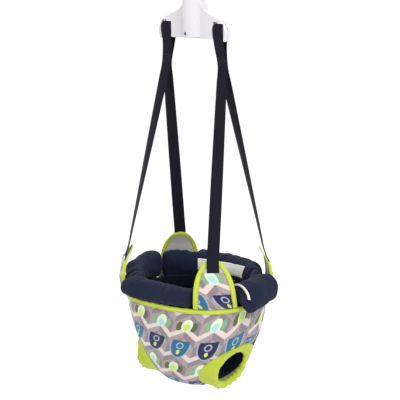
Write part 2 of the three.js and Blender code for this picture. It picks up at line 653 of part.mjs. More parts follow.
// A tab's own middle surface in the (+X, +Y) corner: u across, v from base to top
function tabPoint(u, v, lean = TAB_LEAN) {
  const base = onRim(u - TAB_SHIFT * (1 - v));
  const top = new THREE.Vector2(TAB_TOP.x, TAB_TOP.y).addScaledVector(cornerTangent, u);
  const flat = base.clone().lerp(top, v ** 0.8);
  const bulge = TAB_BULGE * Math.sin(Math.PI * v ** 0.643) - lean * smooth(v, 0.74, 1);
  flat.add(new THREE.Vector2(cornerTangent.y, -cornerTangent.x).multiplyScalar(bulge));
  return new THREE.Vector3(flat.x, flat.y, lerp(RIM_Z + 2.8, TAB_TOP.z, v));
}
const tabNormal = new THREE.Vector3(cornerTangent.y, -cornerTangent.x, 0.05).normalize();
const tabHalf = (v) => TAB_HALF_W * (1 - v ** 4) ** 0.6;
const BIND_W = 12; // width of the tape round a tab

function tabSheet(from, to, near, far) {
  const levels = 5;
  const across = 4;
  const rings = Array.from({ length: levels + 1 }, (_, i) => {
    const v = lerp(from, to, i / levels);
    const half = Math.max(tabHalf(v) - BIND_W / 2 - 0.8, 2.5);
    const side = (offset) => Array.from({ length: across + 1 }, (__, j) => (
      tabPoint(lerp(-half, half, j / across), v).addScaledVector(tabNormal, offset)));
    return [...side(near), ...side(far).reverse()];
  });
  return loft(rings);
}

// The tape runs up one edge, over the top and down the other. It wraps the lining all the
// way, and the printed face only below the strap.
function tabBinding() {
  const steps = 22;
  const rings = Array.from({ length: steps + 1 }, (_, i) => {
    const along = (i / steps) * 2 - 1;
    const turn = Math.abs(along) ** 0.8;
    const v = 0.985 * (1 - turn ** 2.6);
    const u = Math.sign(along) * tabHalf(v) * Math.min(1, Math.abs(along) * 6);
    const inward = new THREE.Vector2(-Math.sign(along) * smooth(Math.abs(along), 0, 0.35), 0);
    inward.y = -Math.sqrt(Math.max(0, 1 - inward.x ** 2));
    const outer = lerp(3.2, -1.4, smooth(v, TAB_FACE_END - 0.09, TAB_FACE_END - 0.02));
    const at = (inset, offset) => tabPoint(
      u + inward.x * inset, Math.max(v + inward.y * inset / TAB_HEIGHT, 0),
    ).addScaledVector(tabNormal, offset);
    const half = BIND_W / 2;
    return [at(-half, -3.1), at(half, -3.1), at(half, outer), at(-half, outer)];
  });
  return loft(rings);
}

const CORNERS = [
  // name, side in X, side in Y
  ['front_left', 1, -1], ['front_right', -1, -1], ['back_left', 1, 1], ['back_right', -1, 1],
];

function placeInCorner(geometry, sx, sy) {
  const placed = geometry.clone();
  const { array } = placed.attributes.position;
  for (let i = 0; i < array.length; i += 3) {
    array[i] *= sx;
    array[i + 1] *= sy;
  }
  if (sx * sy < 0) {
    const { array: index } = placed.index;
    for (let i = 0; i < index.length; i += 3) [index[i], index[i + 1]] = [index[i + 1], index[i]];
  }
  return placed;
}

CORNERS.forEach(([corner, sx, sy]) => {
  const face = tabSheet(0, TAB_FACE_END, 1.9, 3.3);
  const lining = tabSheet(0, 0.87, -3.1, -1.5);
  add(`tab_${corner}_outer`, placeInCorner(face, sx, sy), printedFabric);
  add(`tab_${corner}_lining`, placeInCorner(lining, sx, sy), greyFabric);
  add(`tab_${corner}_binding`, placeInCorner(tabBinding(), sx, sy), limeFabric);
});

// ---------------------------------------------------------------- seat straps

// One strap: from the front tab over the roller to the back tab. The strap's width lies
// along X at the roller and along the rim at each tab, so each leg has an even twist.
function seatStrap(side) {
  const reach = ROLLER_R + GAP + WEB_T / 2;
  const leg = (sy) => {
    const across = new THREE.Vector3(-cornerTangent.x, -cornerTangent.y * side * sy, 0);
    const stations = [0.5, 0.65, 0.82].map((v) => {
      const p = tabPoint(0, v, 0);
      return { at: new THREE.Vector3(side * p.x, sy * p.y, p.z), across };
    });
    const top = new THREE.Vector3(side * TAB_TOP.x, sy * TAB_TOP.y, TAB_TOP.z);
    const pinch = new THREE.Vector3(side * PINCH.x, sy * 1.3, STRAP_TOP - PINCH.drop);
    for (let i = 0; i <= 12; i += 1) {
      const t = i / 12;
      stations.push({
        at: top.clone().lerp(pinch, t),
        across: across.clone().lerp(X_AXIS, t).normalize(),
      });
    }
    stations.push({ at: new THREE.Vector3(side * HOOK_X, sy * 6.6, ROLLER_Z - 36), across: X_AXIS });
    stations.push({ at: new THREE.Vector3(side * HOOK_X, sy * reach * 0.98, ROLLER_Z - 8),
      across: X_AXIS });
    return stations;
  };
  const over = Array.from({ length: 9 }, (_, i) => {
    const angle = Math.PI - (i / 8) * Math.PI;
    return {
      at: new THREE.Vector3(side * HOOK_X, reach * Math.cos(angle),
        ROLLER_Z + reach * Math.sin(angle)),
      across: X_AXIS,
    };
  });
  return band([...leg(-1), ...over, ...leg(1).reverse()], WEB_W, WEB_T);
}
add('seat_strap_left', seatStrap(1), webbing);
add('seat_strap_right', seatStrap(-1), webbing);

// ---------------------------------------------------------------- collar

const degrees = THREE.MathUtils.degToRad;
const BASE_ANGLE = CORNER_ANGLE - TAB_SHIFT / 176;
const CORNER_ANGLES = [BASE_ANGLE, Math.PI - BASE_ANGLE, Math.PI + BASE_ANGLE,
  2 * Math.PI - BASE_ANGLE];

// How far round the rim an angle is from the nearest tab, in mm
function fromTab(angle) {
  const turn = 2 * Math.PI;
  return Math.min(...CORNER_ANGLES.map((corner) => {
    const difference = Math.abs(((angle - corner) % turn + turn) % turn);
    return Math.min(difference, turn - difference) * 176;
  }));
}

function collarHeight(angle) {
  const back = smooth((1 + Math.sin(angle)) / 2, 0.3, 0.75);
  const rightSide = smooth(-Math.cos(angle), 0.2, 0.9) * 0.5;
  const rise = Math.min(1, back + rightSide);
  return lerp(COLLAR_FRONT, COLLAR_BACK, rise) - COLLAR_TILT * Math.cos(angle) * back;
}

// A station of the upright collar: a rounded section from inside the bucket to outside it
function collarSection(angle, pinch) {
  const toRight = smooth(Math.cos(angle - degrees(210)), 0.55, 0.9);
  const out = lerp(-11, COLLAR_OUT + COLLAR_OUT_RIGHT * toRight, smooth(fromTab(angle), 56, 76));
  const height = collarHeight(angle);
  const centre = { r: (out - COLLAR_IN) / 2, z: (height + 3) / 2 };
  const half = { r: (out + COLLAR_IN) / 2 * pinch, z: (height - 3) / 2 * lerp(1, pinch, 0.4) };
  const { r } = seatPoint(0, angle);
  return Array.from({ length: 12 }, (_, j) => {
    const turn = (j / 12) * 2 * Math.PI;
    const round = (value) => Math.sign(value) * Math.abs(value) ** 0.78;
    const radius = r + centre.r + half.r * round(Math.cos(turn));
    const lean = centre.z + half.z * round(Math.sin(turn));
    return new THREE.Vector3(radius * Math.cos(angle), radius * Math.sin(angle), RIM_Z + lean);
  });
}

// The left-hand length lies folded outward over the rim, and stands up behind its rear tab
const FOLD_END = 0.31; // angle at which it stands upright
const FOLDED = [[62, 26], [56, 46], [34, 62], [2, 66], [-22, 56], [-36, 34], [-34, 12],
  [-20, 6], [2, 5], [15, 5], [33, -12], [54, -4]];
function foldedSection(angle, pinch) {
  const { r } = seatPoint(0, angle);
  const middle = { r: 4, z: 34 };
  const lift = 22 * smooth(angle, -0.3, 0.25);
  const folded = FOLDED.map(([u, z]) => {
    const radius = r + lerp(middle.r, u, pinch);
    const height = lerp(middle.z, z, pinch) + lift * smooth(u, -10, 30);
    return new THREE.Vector3(
      radius * Math.cos(angle), radius * Math.sin(angle), RIM_Z + height);
  });
  const upright = collarSection(angle, pinch);
  const stand = smooth(angle, FOLD_END - 0.16, FOLD_END);
  return folded.map((point, j) => point.lerp(upright[j], stand));
}

function collar(fromDegrees, toDegrees, section) {
  const steps = Math.round((toDegrees - fromDegrees) / 6);
  return loft(Array.from({ length: steps + 1 }, (_, i) => {
    const t = i / steps;
    const pinch = 0.72 + 0.28 * smooth(Math.min(t, 1 - t) * steps, 0, 1.2);
    return section(degrees(lerp(fromDegrees, toDegrees, t)), pinch);
  }));
}

const corner = THREE.MathUtils.radToDeg(CORNER_ANGLE);
add('collar_front', collar(180 + corner + 1.2, 360 - corner - 1.2, collarSection), navyFabric);
add('collar_left', collar(-corner + 19, corner - 1.5, foldedSection), navyFabric);
add('collar_back', collar(corner + 1.5, 164, collarSection), navyFabric);
add('collar_right', collar(165.5, 180 + corner - 1.2, collarSection), navyFabric);

// The label lies on the inner face of the back collar
function careLabel() {
  const from = degrees(54);
  const to = degrees(128);
  const steps = 10;
  return loft(Array.from({ length: steps + 1 }, (_, i) => {
    const angle = lerp(from, to, i / steps);
    const { r } = seatPoint(0, angle);
    const at = (offset, z) => new THREE.Vector3(
      (r - offset) * Math.cos(angle), (r - offset) * Math.sin(angle), RIM_Z + z);
    return [at(COLLAR_IN + 0.5, 28), at(COLLAR_IN + 1.1, 28), at(COLLAR_IN + 1.1, 58),
      at(COLLAR_IN + 0.5, 58)];
  }));
}
add('care_label', careLabel(), whiteFabric);

export default group;
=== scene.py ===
"""Doorway baby jumper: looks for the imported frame. Metres, +Z up. The rider faces -Y, left is +X."""
import math

import bmesh
import bpy
import numpy as np
from mathutils import Matrix, Vector, noise


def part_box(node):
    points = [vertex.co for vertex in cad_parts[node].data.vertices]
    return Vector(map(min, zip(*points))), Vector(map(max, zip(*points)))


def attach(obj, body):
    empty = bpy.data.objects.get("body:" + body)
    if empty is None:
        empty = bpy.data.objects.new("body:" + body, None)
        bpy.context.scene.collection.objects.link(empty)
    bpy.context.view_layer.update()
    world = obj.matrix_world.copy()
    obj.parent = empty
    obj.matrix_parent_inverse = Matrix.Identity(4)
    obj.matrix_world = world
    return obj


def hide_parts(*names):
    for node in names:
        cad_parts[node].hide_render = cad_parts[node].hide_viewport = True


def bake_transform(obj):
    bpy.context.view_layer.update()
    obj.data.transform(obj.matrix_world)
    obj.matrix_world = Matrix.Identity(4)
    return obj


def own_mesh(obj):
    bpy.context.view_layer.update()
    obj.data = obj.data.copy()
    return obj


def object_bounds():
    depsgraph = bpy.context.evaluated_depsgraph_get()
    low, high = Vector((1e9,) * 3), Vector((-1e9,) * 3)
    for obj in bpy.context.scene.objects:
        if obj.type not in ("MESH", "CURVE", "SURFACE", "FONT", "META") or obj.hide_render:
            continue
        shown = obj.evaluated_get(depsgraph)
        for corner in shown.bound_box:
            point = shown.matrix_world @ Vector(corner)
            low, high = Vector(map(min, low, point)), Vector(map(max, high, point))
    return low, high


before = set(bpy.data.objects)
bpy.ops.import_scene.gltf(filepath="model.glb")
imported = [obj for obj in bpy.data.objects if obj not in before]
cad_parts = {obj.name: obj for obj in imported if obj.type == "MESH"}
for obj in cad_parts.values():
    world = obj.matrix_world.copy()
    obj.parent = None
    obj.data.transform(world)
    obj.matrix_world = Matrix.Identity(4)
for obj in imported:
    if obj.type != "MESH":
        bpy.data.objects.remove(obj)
cad_bounds = [list(corner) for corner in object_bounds()]

# ---------------------------------------------------------------- dimensions, most of them as in part.mjs

MM = 0.001
GAP = 0.35 * MM
WEB_W = 30 * MM
WEB_T = 1.6 * MM
TAU = 2 * math.pi
SIDES = ((1, "left"), (-1, "right"))

ROLLER_R = 11.2 * MM
HOOK_X = 83 * MM
STRAP_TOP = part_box("seat_strap_left")[1].z
ROLLER_Z = STRAP_TOP - WEB_T - GAP - ROLLER_R
PIVOT_Z = -110 * MM
BAR_Z = PIVOT_Z - 180 * MM
ADJUSTER_Z = PIVOT_Z - 60 * MM
SPOOL_R = 7.5 * MM
BAR_R = 4 * MM
SPRING_R = 13.5 * MM
WIRE_R = 2.1 * MM
HOOK_R = 6.5 * MM
COIL_TURNS = 22
COIL_PITCH = 4.4 * MM
UPPER_PIN_Z = sum(p.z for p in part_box("spring_upper_pin")) / 2
LOWER_PIN_Z = sum(p.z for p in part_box("spring_lower_pin")) / 2

PINCH_X = 90.3 * MM
PINCH_DROP = 103 * MM
TAB_TOP = np.array([139 * MM, 100.2 * MM, STRAP_TOP - 565 * MM])
TAB_HEIGHT = 119 * MM
TAB_HALF_W = 50 * MM
TAB_BULGE = 17 * MM
TAB_LEAN = 7 * MM
TAB_SHIFT = 6 * MM
TAB_FACE_END = 0.79
BIND_W = 12 * MM
RIM_Z = TAB_TOP[2] - TAB_HEIGHT
RIM_POWER = 2.4
BASE_POWER = 2.05
SEAT_LEVELS = MM * np.array([
    (0, 180, 147), (42, 176, 142), (90, 165, 133), (128, 150, 123), (168, 129, 109),
    (200, 104, 93), (220, 74, 69), (228, 38, 36)])
BACK_BULGE = np.array((1, 1.045, 1.08, 1.08, 1.05, 1, 1, 1))
COLLAR_IN = 42 * MM
LEG_CENTRE = np.array([125 * MM, -15 * MM, RIM_Z - 166 * MM])
LEG_LONG_R = 75 * MM
LEG_SHORT_R = 61 * MM
CUFF_OUT = {1: 12 * MM, -1: 3 * MM}
MOUTH_LONG = -10 * MM
MOUTH_SHORT = 15 * MM
COLLAR_OUT = 20 * MM
COLLAR_OUT_RIGHT = 11 * MM
COLLAR_FRONT = 50 * MM
COLLAR_BACK = 76 * MM
COLLAR_TILT = 7 * MM


def unit(v):
    v = np.asarray(v, float)
    return v / np.linalg.norm(v)


def units(rows):
    """Unit vectors along the last axis of an array."""
    return rows / np.linalg.norm(rows, axis=-1, keepdims=True)


def turns(count):
    """Angles spread evenly over one turn."""
    return np.arange(count) / count * TAU


LEG_NORMAL = unit((0.939, -0.053, -0.341))
LEG_LONG = np.array((0.23, 0.83, 0.51))
LEG_LONG = unit(LEG_LONG - LEG_NORMAL * LEG_LONG.dot(LEG_NORMAL))
LEG_SHORT = np.cross(LEG_NORMAL, LEG_LONG)
HOLE_DEPTH = 60 * MM  # how far from a leg hole's plane its bucket wall may lie

# ---------------------------------------------------------------- mesh helpers

def link(name, data):
    obj = bpy.data.objects.new(name, data)
    bpy.context.scene.collection.objects.link(obj)
    return obj


def mesh_object(name, verts, faces, uv=None, smooth=True):
    """uv is one (u, v) for each corner of each face, in face order."""
    mesh = bpy.data.meshes.new(name)
    mesh.from_pydata(np.asarray(verts, float).tolist(), [], [tuple(int(i) for i in f) for f in faces])
    if uv is not None:
        layer = mesh.uv_layers.new(name="UVMap")
        layer.data.foreach_set("uv", np.asarray(uv, np.float32).ravel())
    mesh.validate()
    mesh.polygons.foreach_set("use_smooth", [smooth] * len(mesh.polygons))
    return link(name, mesh)


def edit_mesh(obj, edit):
    bm = bmesh.new()
    bm.from_mesh(obj.data)
    edit(bm)
    bm.to_mesh(obj.data)
    bm.free()
    return obj


def outward(obj):
    """Turns the faces of a closed mesh outward."""
    return edit_mesh(obj, lambda bm: bmesh.ops.recalc_face_normals(bm, faces=bm.faces))


def grid_faces(rows, cols, wrap_rows=False, wrap_cols=False):
    faces = []
    for i in range(rows if wrap_rows else rows - 1):
        for j in range(cols if wrap_cols else cols - 1):
            k, m = (i + 1) % rows, (j + 1) % cols
            faces.append((i * cols + j, i * cols + m, k * cols + m, k * cols + j))
    return faces


def lengths(path):
    """The distance along a path from its start to each of its points."""
    return np.concatenate([[0], np.cumsum(np.linalg.norm(np.diff(path, axis=0), axis=1))])


def interp_rows(x, at, rows):
    """Rows of numbers, one for each place in at, interpolated at x."""
    return np.stack([np.interp(x, at, column) for column in rows.T], -1)


def loft(name, rings, looped=False):
    """A closed body through rings (n, m, 3). Its UVs are metres along and across."""
    rings = np.asarray(rings, float)
    n, m, _ = rings.shape
    flat = rings.reshape(-1, 3)
    faces = grid_faces(n, m, wrap_rows=looped, wrap_cols=True)
    us, vs = lengths(rings.mean(1)), lengths(rings[n // 2])
    us = np.append(us, us[-1] + np.linalg.norm(rings[0].mean(0) - rings[-1].mean(0)))
    vs = np.append(vs, vs[-1] + np.linalg.norm(rings[n // 2, 0] - rings[n // 2, -1]))
    uv = []
    for i in range(n if looped else n - 1):
        for j in range(m):
            uv += [(us[i], vs[j]), (us[i], vs[j + 1]), (us[i + 1], vs[j + 1]), (us[i + 1], vs[j])]
    if not looped:
        for ring in (range(m), range((n - 1) * m, n * m)):
            faces.append(tuple(ring))
            end = flat[list(ring)]
            uv += [(x, z) for x, _, z in end - end.mean(0)]
    return outward(mesh_object(name, flat, faces, uv))


def sheet_body(name, layers, uvs):
    """A closed sheet between two layers of points (2, rows, cols, 3), with a UV for each place."""
    _, rows, cols, _ = layers.shape
    n = rows * cols
    faces = []
    for face in grid_faces(rows, cols):
        faces += [face, tuple(n + k for k in reversed(face))]
    grid = np.arange(n).reshape(rows, cols)
    border = [*grid[0], *grid[1:, -1], *grid[-1, -2::-1], *grid[-2:0:-1, 0]]
    faces += [(a, n + a, n + b, b) for a, b in zip(border, border[1:] + border[:1])]
    return outward(mesh_object(name, layers.reshape(-1, 3), faces, [uvs[k % n] for f in faces for k in f]))


def spline(points, places, least=0.0):
    """Knots of a smooth path through points, and a function for the piece of it after point i."""
    knots = np.concatenate([[0], np.cumsum(np.sqrt(np.linalg.norm(np.diff(places, axis=0), axis=1)) + least)])
    slopes = np.gradient(points, knots, axis=0)

    def piece(i, t):
        span = knots[i + 1] - knots[i]
        return ((2 * t**3 - 3 * t**2 + 1) * points[i] + (t**3 - 2 * t**2 + t) * span * slopes[i]
                + (-2 * t**3 + 3 * t**2) * points[i + 1] + (t**3 - t**2) * span * slopes[i + 1])
    return knots, piece


def resample(points, step):
    """A smooth path through points (n, k) whose first three values are a place."""
    points = np.asarray(points, float)
    _, piece = spline(points, points[:, :3], 1e-9)
    fine = []
    for i in range(len(points) - 1):
        count = max(2, int(np.linalg.norm(points[i + 1, :3] - points[i, :3]) / step * 2))
        fine.append(piece(i, np.linspace(0, 1, count, endpoint=False)[:, None]))
    fine = np.concatenate(fine + [points[-1:]])
    length = lengths(fine[:, :3])
    wanted = np.linspace(0, length[-1], max(2, round(length[-1] / step) + 1))
    return interp_rows(wanted, length, fine)


WEB_SECTION = np.array([
    (side * (WEB_W / 2 - WEB_T / 2 + WEB_T / 2 * math.cos(a)), side * WEB_T / 2 * math.sin(a))
    for side in (1, -1) for a in np.radians(np.linspace(-90, 90, 5))])


def web_loft(name, stations, step):
    """Webbing along stations (n, 6): a place, and the direction that its width lies along."""
    stations = resample(stations, step)
    at, across = stations[:, :3], stations[:, 3:]
    along = units(np.gradient(at, axis=0))
    wide = units(across - along * (across * along).sum(1)[:, None])
    thick = np.cross(along, wide)
    return loft(name, at[:, None] + wide[:, None] * WEB_SECTION[:, :1] + thick[:, None] * WEB_SECTION[:, 1:])


def lathe(name, profile, axis, centre, steps):
    """Turns a closed outline of (radius, height) points about axis 0 (X), 1 (Y) or 2 (Z)."""
    radius, height = np.array(profile, float).T
    angles = turns(steps)[:, None]
    rings = np.zeros((steps, len(profile), 3))
    rings[:, :, axis] = height
    rings[:, :, (axis + 1) % 3] = radius * np.cos(angles)
    rings[:, :, (axis + 2) % 3] = radius * np.sin(angles)
    return loft(name, rings + centre, looped=True)


def round_corners(outline, radius):
    """Rounds the corners of a closed outline of (x, y) points."""
    outline = [np.array(p, float) for p in outline]
    result = []
    for i, corner in enumerate(outline):
        before, after = outline[i - 1] - corner, outline[(i + 1) % len(outline)] - corner
        r = min(radius, np.linalg.norm(before) * 0.45, np.linalg.norm(after) * 0.45)
        a, b = corner + unit(before) * r, corner + unit(after) * r
        result += [(1 - t)**2 * a + 2 * t * (1 - t) * corner + t**2 * b for t in (0, 0.5, 1)]
    return np.array(result)


def modify(obj, kind, **settings):
    """Adds a modifier of a kind, with its settings."""
    modifier = obj.modifiers.new(kind.lower(), kind)
    for key, value in settings.items():
        setattr(modifier, key, value)
    return modifier


def apply_modifiers(obj):
    evaluated = obj.evaluated_get(bpy.context.evaluated_depsgraph_get())
    mesh = bpy.data.meshes.new_from_object(evaluated)
    obj.modifiers.clear()
    obj.data = mesh
    mesh.polygons.foreach_set("use_smooth", [True] * len(mesh.polygons))
    return obj


def remesh(obj, voxel, smoothing):
    modify(obj, "WELD", merge_threshold=1e-5)
    modify(obj, "REMESH", mode="VOXEL", voxel_size=voxel, use_smooth_shade=True)
    modify(obj, "SMOOTH", iterations=smoothing)
    return apply_modifiers(obj)


def vectors(items, key):
    values = np.zeros(len(items) * 3)
    items.foreach_get(key, values)
    return values.reshape(-1, 3)


def set_vertices(obj, co):
    obj.data.vertices.foreach_set("co", np.asarray(co, np.float32).ravel())
    obj.data.update()


def smooth(x, low, high):
    t = np.clip((x - low) / (high - low), 0, 1)
    return t * t * (3 - 2 * t)


def ripple(point, scale, seed=0.0):
    """Smooth noise from -1 to 1."""
    return noise.noise(Vector((point[0] / scale + seed, point[1] / scale - seed, point[2] / scale)))


def at_angle(angle, radius, height):
    """Places at an angle and a distance from the bucket's axis, and a height over its rim."""
    return np.stack([radius * math.cos(angle), radius * math.sin(angle), RIM_Z + height], -1)


def finish_piece(obj, body, paint, *replaced, slot=None):
    """Gives a piece its material and its body, and hides the nodes it stands for."""
    own_slot, material = PAINTS[paint]
    obj.data.materials.clear()
    obj.data.materials.append(material)
    slot or own_slot
    if body:
        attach(obj, body)
    if replaced:
        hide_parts(*replaced)
    return obj


# ---------------------------------------------------------------- materials

def operation(name):
    return lambda field, *others: field.math(name, *others)


class Field:
    """A socket in a material's node tree, with arithmetic."""

    def __init__(self, tree, socket):
        self.tree = tree
        self.socket = socket

    def math(self, name, *others, clamp=False):
        node = self.tree.nodes.new("ShaderNodeMath")
        node.operation = name
        node.use_clamp = clamp
        for i, value in enumerate((self, *others)):
            if isinstance(value, Field):
                self.tree.links.new(value.socket, node.inputs[i])
            else:
                node.inputs[i].default_value = value
        return Field(self.tree, node.outputs[0])

    __add__ = operation("ADD")
    __sub__ = operation("SUBTRACT")
    __mul__ = operation("MULTIPLY")
    __truediv__ = operation("DIVIDE")
    frac = operation("FRACT")
    floor = operation("FLOOR")
    abs = operation("ABSOLUTE")
    sin = operation("SINE")
    either = operation("MAXIMUM")

    def clamped(self, plus=0.0):
        return self.math("ADD", plus, clamp=True)

    def below(self, edge, soft=0.02):
        """1 where this is under edge, 0 over it, with a soft step between."""
        return (self * (-1 / soft)).clamped(edge / soft + 0.5)


class Paint:
    """A material with its shader, coordinates and common textures."""

    def __init__(self, name, colour, roughness, **sockets):
        self.material = bpy.data.materials.new(name)
        self.material.use_nodes = True
        self.tree = self.material.node_tree
        self.shader = self.tree.nodes["Principled BSDF"]
        self.shader.inputs["Base Color"].default_value = (*colour, 1)
        self.shader.inputs["Roughness"].default_value = roughness
        for key, value in sockets.items():
            self.shader.inputs[key.replace("_", " ").title().replace("Ior", "IOR")].default_value = value
        self.coords = self.tree.nodes.new("ShaderNodeTexCoord").outputs

    def node(self, kind, inputs=(), **settings):
        """A node with its settings, and values or sockets on its inputs."""
        node = self.tree.nodes.new(kind)
        for key, value in settings.items():
            setattr(node, key, value)
        for key, value in dict(inputs).items():
            if isinstance(value, bpy.types.NodeSocket):
                self.tree.links.new(value, node.inputs[key])
            else:
                node.inputs[key].default_value = value
        return node

    def axes(self, space="Object"):
        node = self.node("ShaderNodeSeparateXYZ", {0: self.coords[space]})
        return [Field(self.tree, output) for output in node.outputs]

    def noise(self, scale, detail=3.0, rough=0.55, stretch=None):
        source = self.coords["Object"]
        if stretch:
            source = self.node("ShaderNodeMapping", {"Scale": stretch, "Vector": source}).outputs[0]
        node = self.node("ShaderNodeTexNoise",
                         {"Scale": scale, "Detail": detail, "Roughness": rough, "Vector": source})
        return Field(self.tree, node.outputs[0])

    def mix(self, factor, first, second, blend="MIX"):
        """first where factor is 0, second where it is 1. Colours are triples or sockets."""
        first, second = ((*c, 1) if isinstance(c, tuple) else c for c in (first, second))
        return self.node("ShaderNodeMix", {"Factor": factor.socket, 6: first, 7: second},
                         data_type="RGBA", blend_type=blend).outputs[2]

    def shade(self, colour, dark, factor):
        """colour, darkened to dark times itself where factor is 1."""
        return self.mix(factor, colour, (dark, dark, dark), "MULTIPLY")

    def worn_edges(self):
        geometry = self.node("ShaderNodeNewGeometry")
        return ((Field(self.tree, geometry.outputs["Pointiness"]) - 0.5) * 9).clamped()

    def finish(self, colour, roughness, height):
        """Puts the colour, roughness and relief, in metres, on the shader."""
        bump = self.node("ShaderNodeBump", {"Distance": 1.0, "Strength": 1.0, "Height": height.socket})
        for key, socket in (("Base Color", colour), ("Roughness", roughness.socket),
                            ("Normal", bump.outputs[0])):
            self.tree.links.new(socket, self.shader.inputs[key])
        return self.material


def weave_height(paint, pitch, uv=True):
    """Over and under threads, from 0 to 1."""
    k = TAU / pitch
    if uv:
        u, v, _ = paint.axes("UV")
        return (u * k).sin() * (v * k).sin() * 0.5 + 0.5
    x, y, z = paint.axes()
    return (x * k).sin() * (y * k).sin() * 0.25 + (z * k).sin() * ((x + y) * k).sin() * 0.25 + 0.5


def cloth_paint(name, colour, pitch=0.9 * MM, uv=True, sheen=0.25, patchy=0.35, crease=0.5 * MM, gloss=0.25):
    """Plain woven cloth: thread relief, a little uneven dye, painted shade in the hollows of the weave, soft
    creases and a dry sheen.
    """
    paint = Paint(name, colour, 0.85, sheen_weight=sheen, sheen_roughness=0.5, specular_ior_level=gloss)
    weave = weave_height(paint, pitch, uv)
    broad = paint.noise(9, detail=4)
    fine = paint.noise(420, detail=2)
    creases = paint.noise(38, detail=5, rough=0.5)
    dye = paint.shade(colour, 0.72, ((broad - 0.42) * (patchy * 5)).clamped())
    # painted shade: the colour is darkened where the weave is low, in the hollows between threads
    return paint.finish(paint.shade(dye, 0.6, (weave * -0.6).clamped(0.6)), fine * 0.14 + 0.78,
                        weave * (0.12 * MM) + creases * crease + fine * (0.1 * MM))


def webbing_paint(name, colour, upright=False):
    """Strap webbing: ribs across a twill, with painted shade in the grooves between the ribs. upright takes
    the strap's length along Z, not from UVs.
    """
    paint = Paint(name, colour, 0.62, sheen_weight=0.04, sheen_roughness=0.4, specular_ior_level=0.1)
    if upright:
        v, _, u = paint.axes()
    else:
        u, v, _ = paint.axes("UV")
    ribs = (u * (TAU / (1.5 * MM))).sin() * 0.5 + 0.5
    twill = ((v * (TAU / (2.4 * MM))) + (u * (TAU / (3 * MM)))).sin() * 0.5 + 0.5
    fine = paint.noise(600, detail=2)
    broad = paint.noise(14, detail=3)
    # painted shade: the colour is darkened in the grooves between the ribs, where the rib relief is low
    threads = paint.shade(colour, 0.55, (ribs * -0.5).clamped(0.55))
    return paint.finish(paint.shade(threads, 0.8, ((broad - 0.4) * 2).clamped()), fine * 0.16 + 0.55,
                        ribs * (0.22 * MM) + twill * (0.12 * MM) + fine * (0.08 * MM))


def plastic_paint(name, colour, roughness, texture=0.0, coat=0.0):
    """Moulded plastic: slight flow marks, dust in its gloss, and edges rubbed a little duller."""
    paint = Paint(name, colour, roughness, coat_weight=coat, coat_roughness=0.08,
                  specular_ior_level=0.5)
    flow = paint.noise(7, detail=2)
    grain = paint.noise(900, detail=2)
    marks = ((paint.noise(60, detail=6, rough=0.7) - 0.6) * 6).clamped()
    worn = paint.worn_edges()
    return paint.finish(paint.shade(paint.shade(colour, 0.93, flow), 0.85, worn * 0.5),
                        marks * 0.12 + worn * 0.12 + (flow * 0.06 + roughness),
                        grain * (texture * MM) + flow * (0.15 * MM))


def metal_paint(name, colour, roughness, stretch):
    """Drawn or turned metal: fine lines one way, dull patches and rubbed edges."""
    paint = Paint(name, colour, roughness, metallic=1.0)
    lines = paint.noise(900, detail=2, stretch=stretch)
    dull = paint.noise(45, detail=5)
    bright = tuple(min(1, c * 1.3) for c in colour)
    return paint.finish(paint.mix(paint.worn_edges(), paint.shade(colour, 0.75, dull), bright),
                        lines * 0.15 + dull * 0.2 + (roughness - 0.15), lines * (0.04 * MM))


def rubber_paint(name, colour):
    paint = Paint(name, colour, 0.8, specular_ior_level=0.3)
    dust = paint.noise(30, detail=6, rough=0.65)
    dusty = tuple(c * 2.4 + 0.02 for c in colour)
    return paint.finish(paint.mix((dust - 0.45) * 0.9, colour, dusty), dust * 0.2 + 0.68,
                        paint.noise(700, detail=3) * (0.12 * MM))


# The print: zigzag bands behind alternating rows of rounded motifs. UVs are metres on the cloth.
PRINT_PITCH = 73 * MM
PRINT_ROW = 66 * MM
PRINT_SLANT = 0.45  # how far each row is set over from the row below, in columns per row
GROUND = (0.335, 0.275, 0.285)
GROUND_DARK = (0.235, 0.19, 0.215)
CREAM = (0.64, 0.55, 0.5)
NAVY = (0.02, 0.022, 0.065)
TEAL = (0.022, 0.125, 0.22)
AQUA = (0.36, 0.6, 0.6)
PALE_BLUE = (0.3, 0.38, 0.5)
LIME = (0.52, 0.62, 0.16)
PALE_GREEN = (0.62, 0.72, 0.52)
LEAF = (0.2, 0.36, 0.2)
OLIVE = (0.095, 0.115, 0.04)


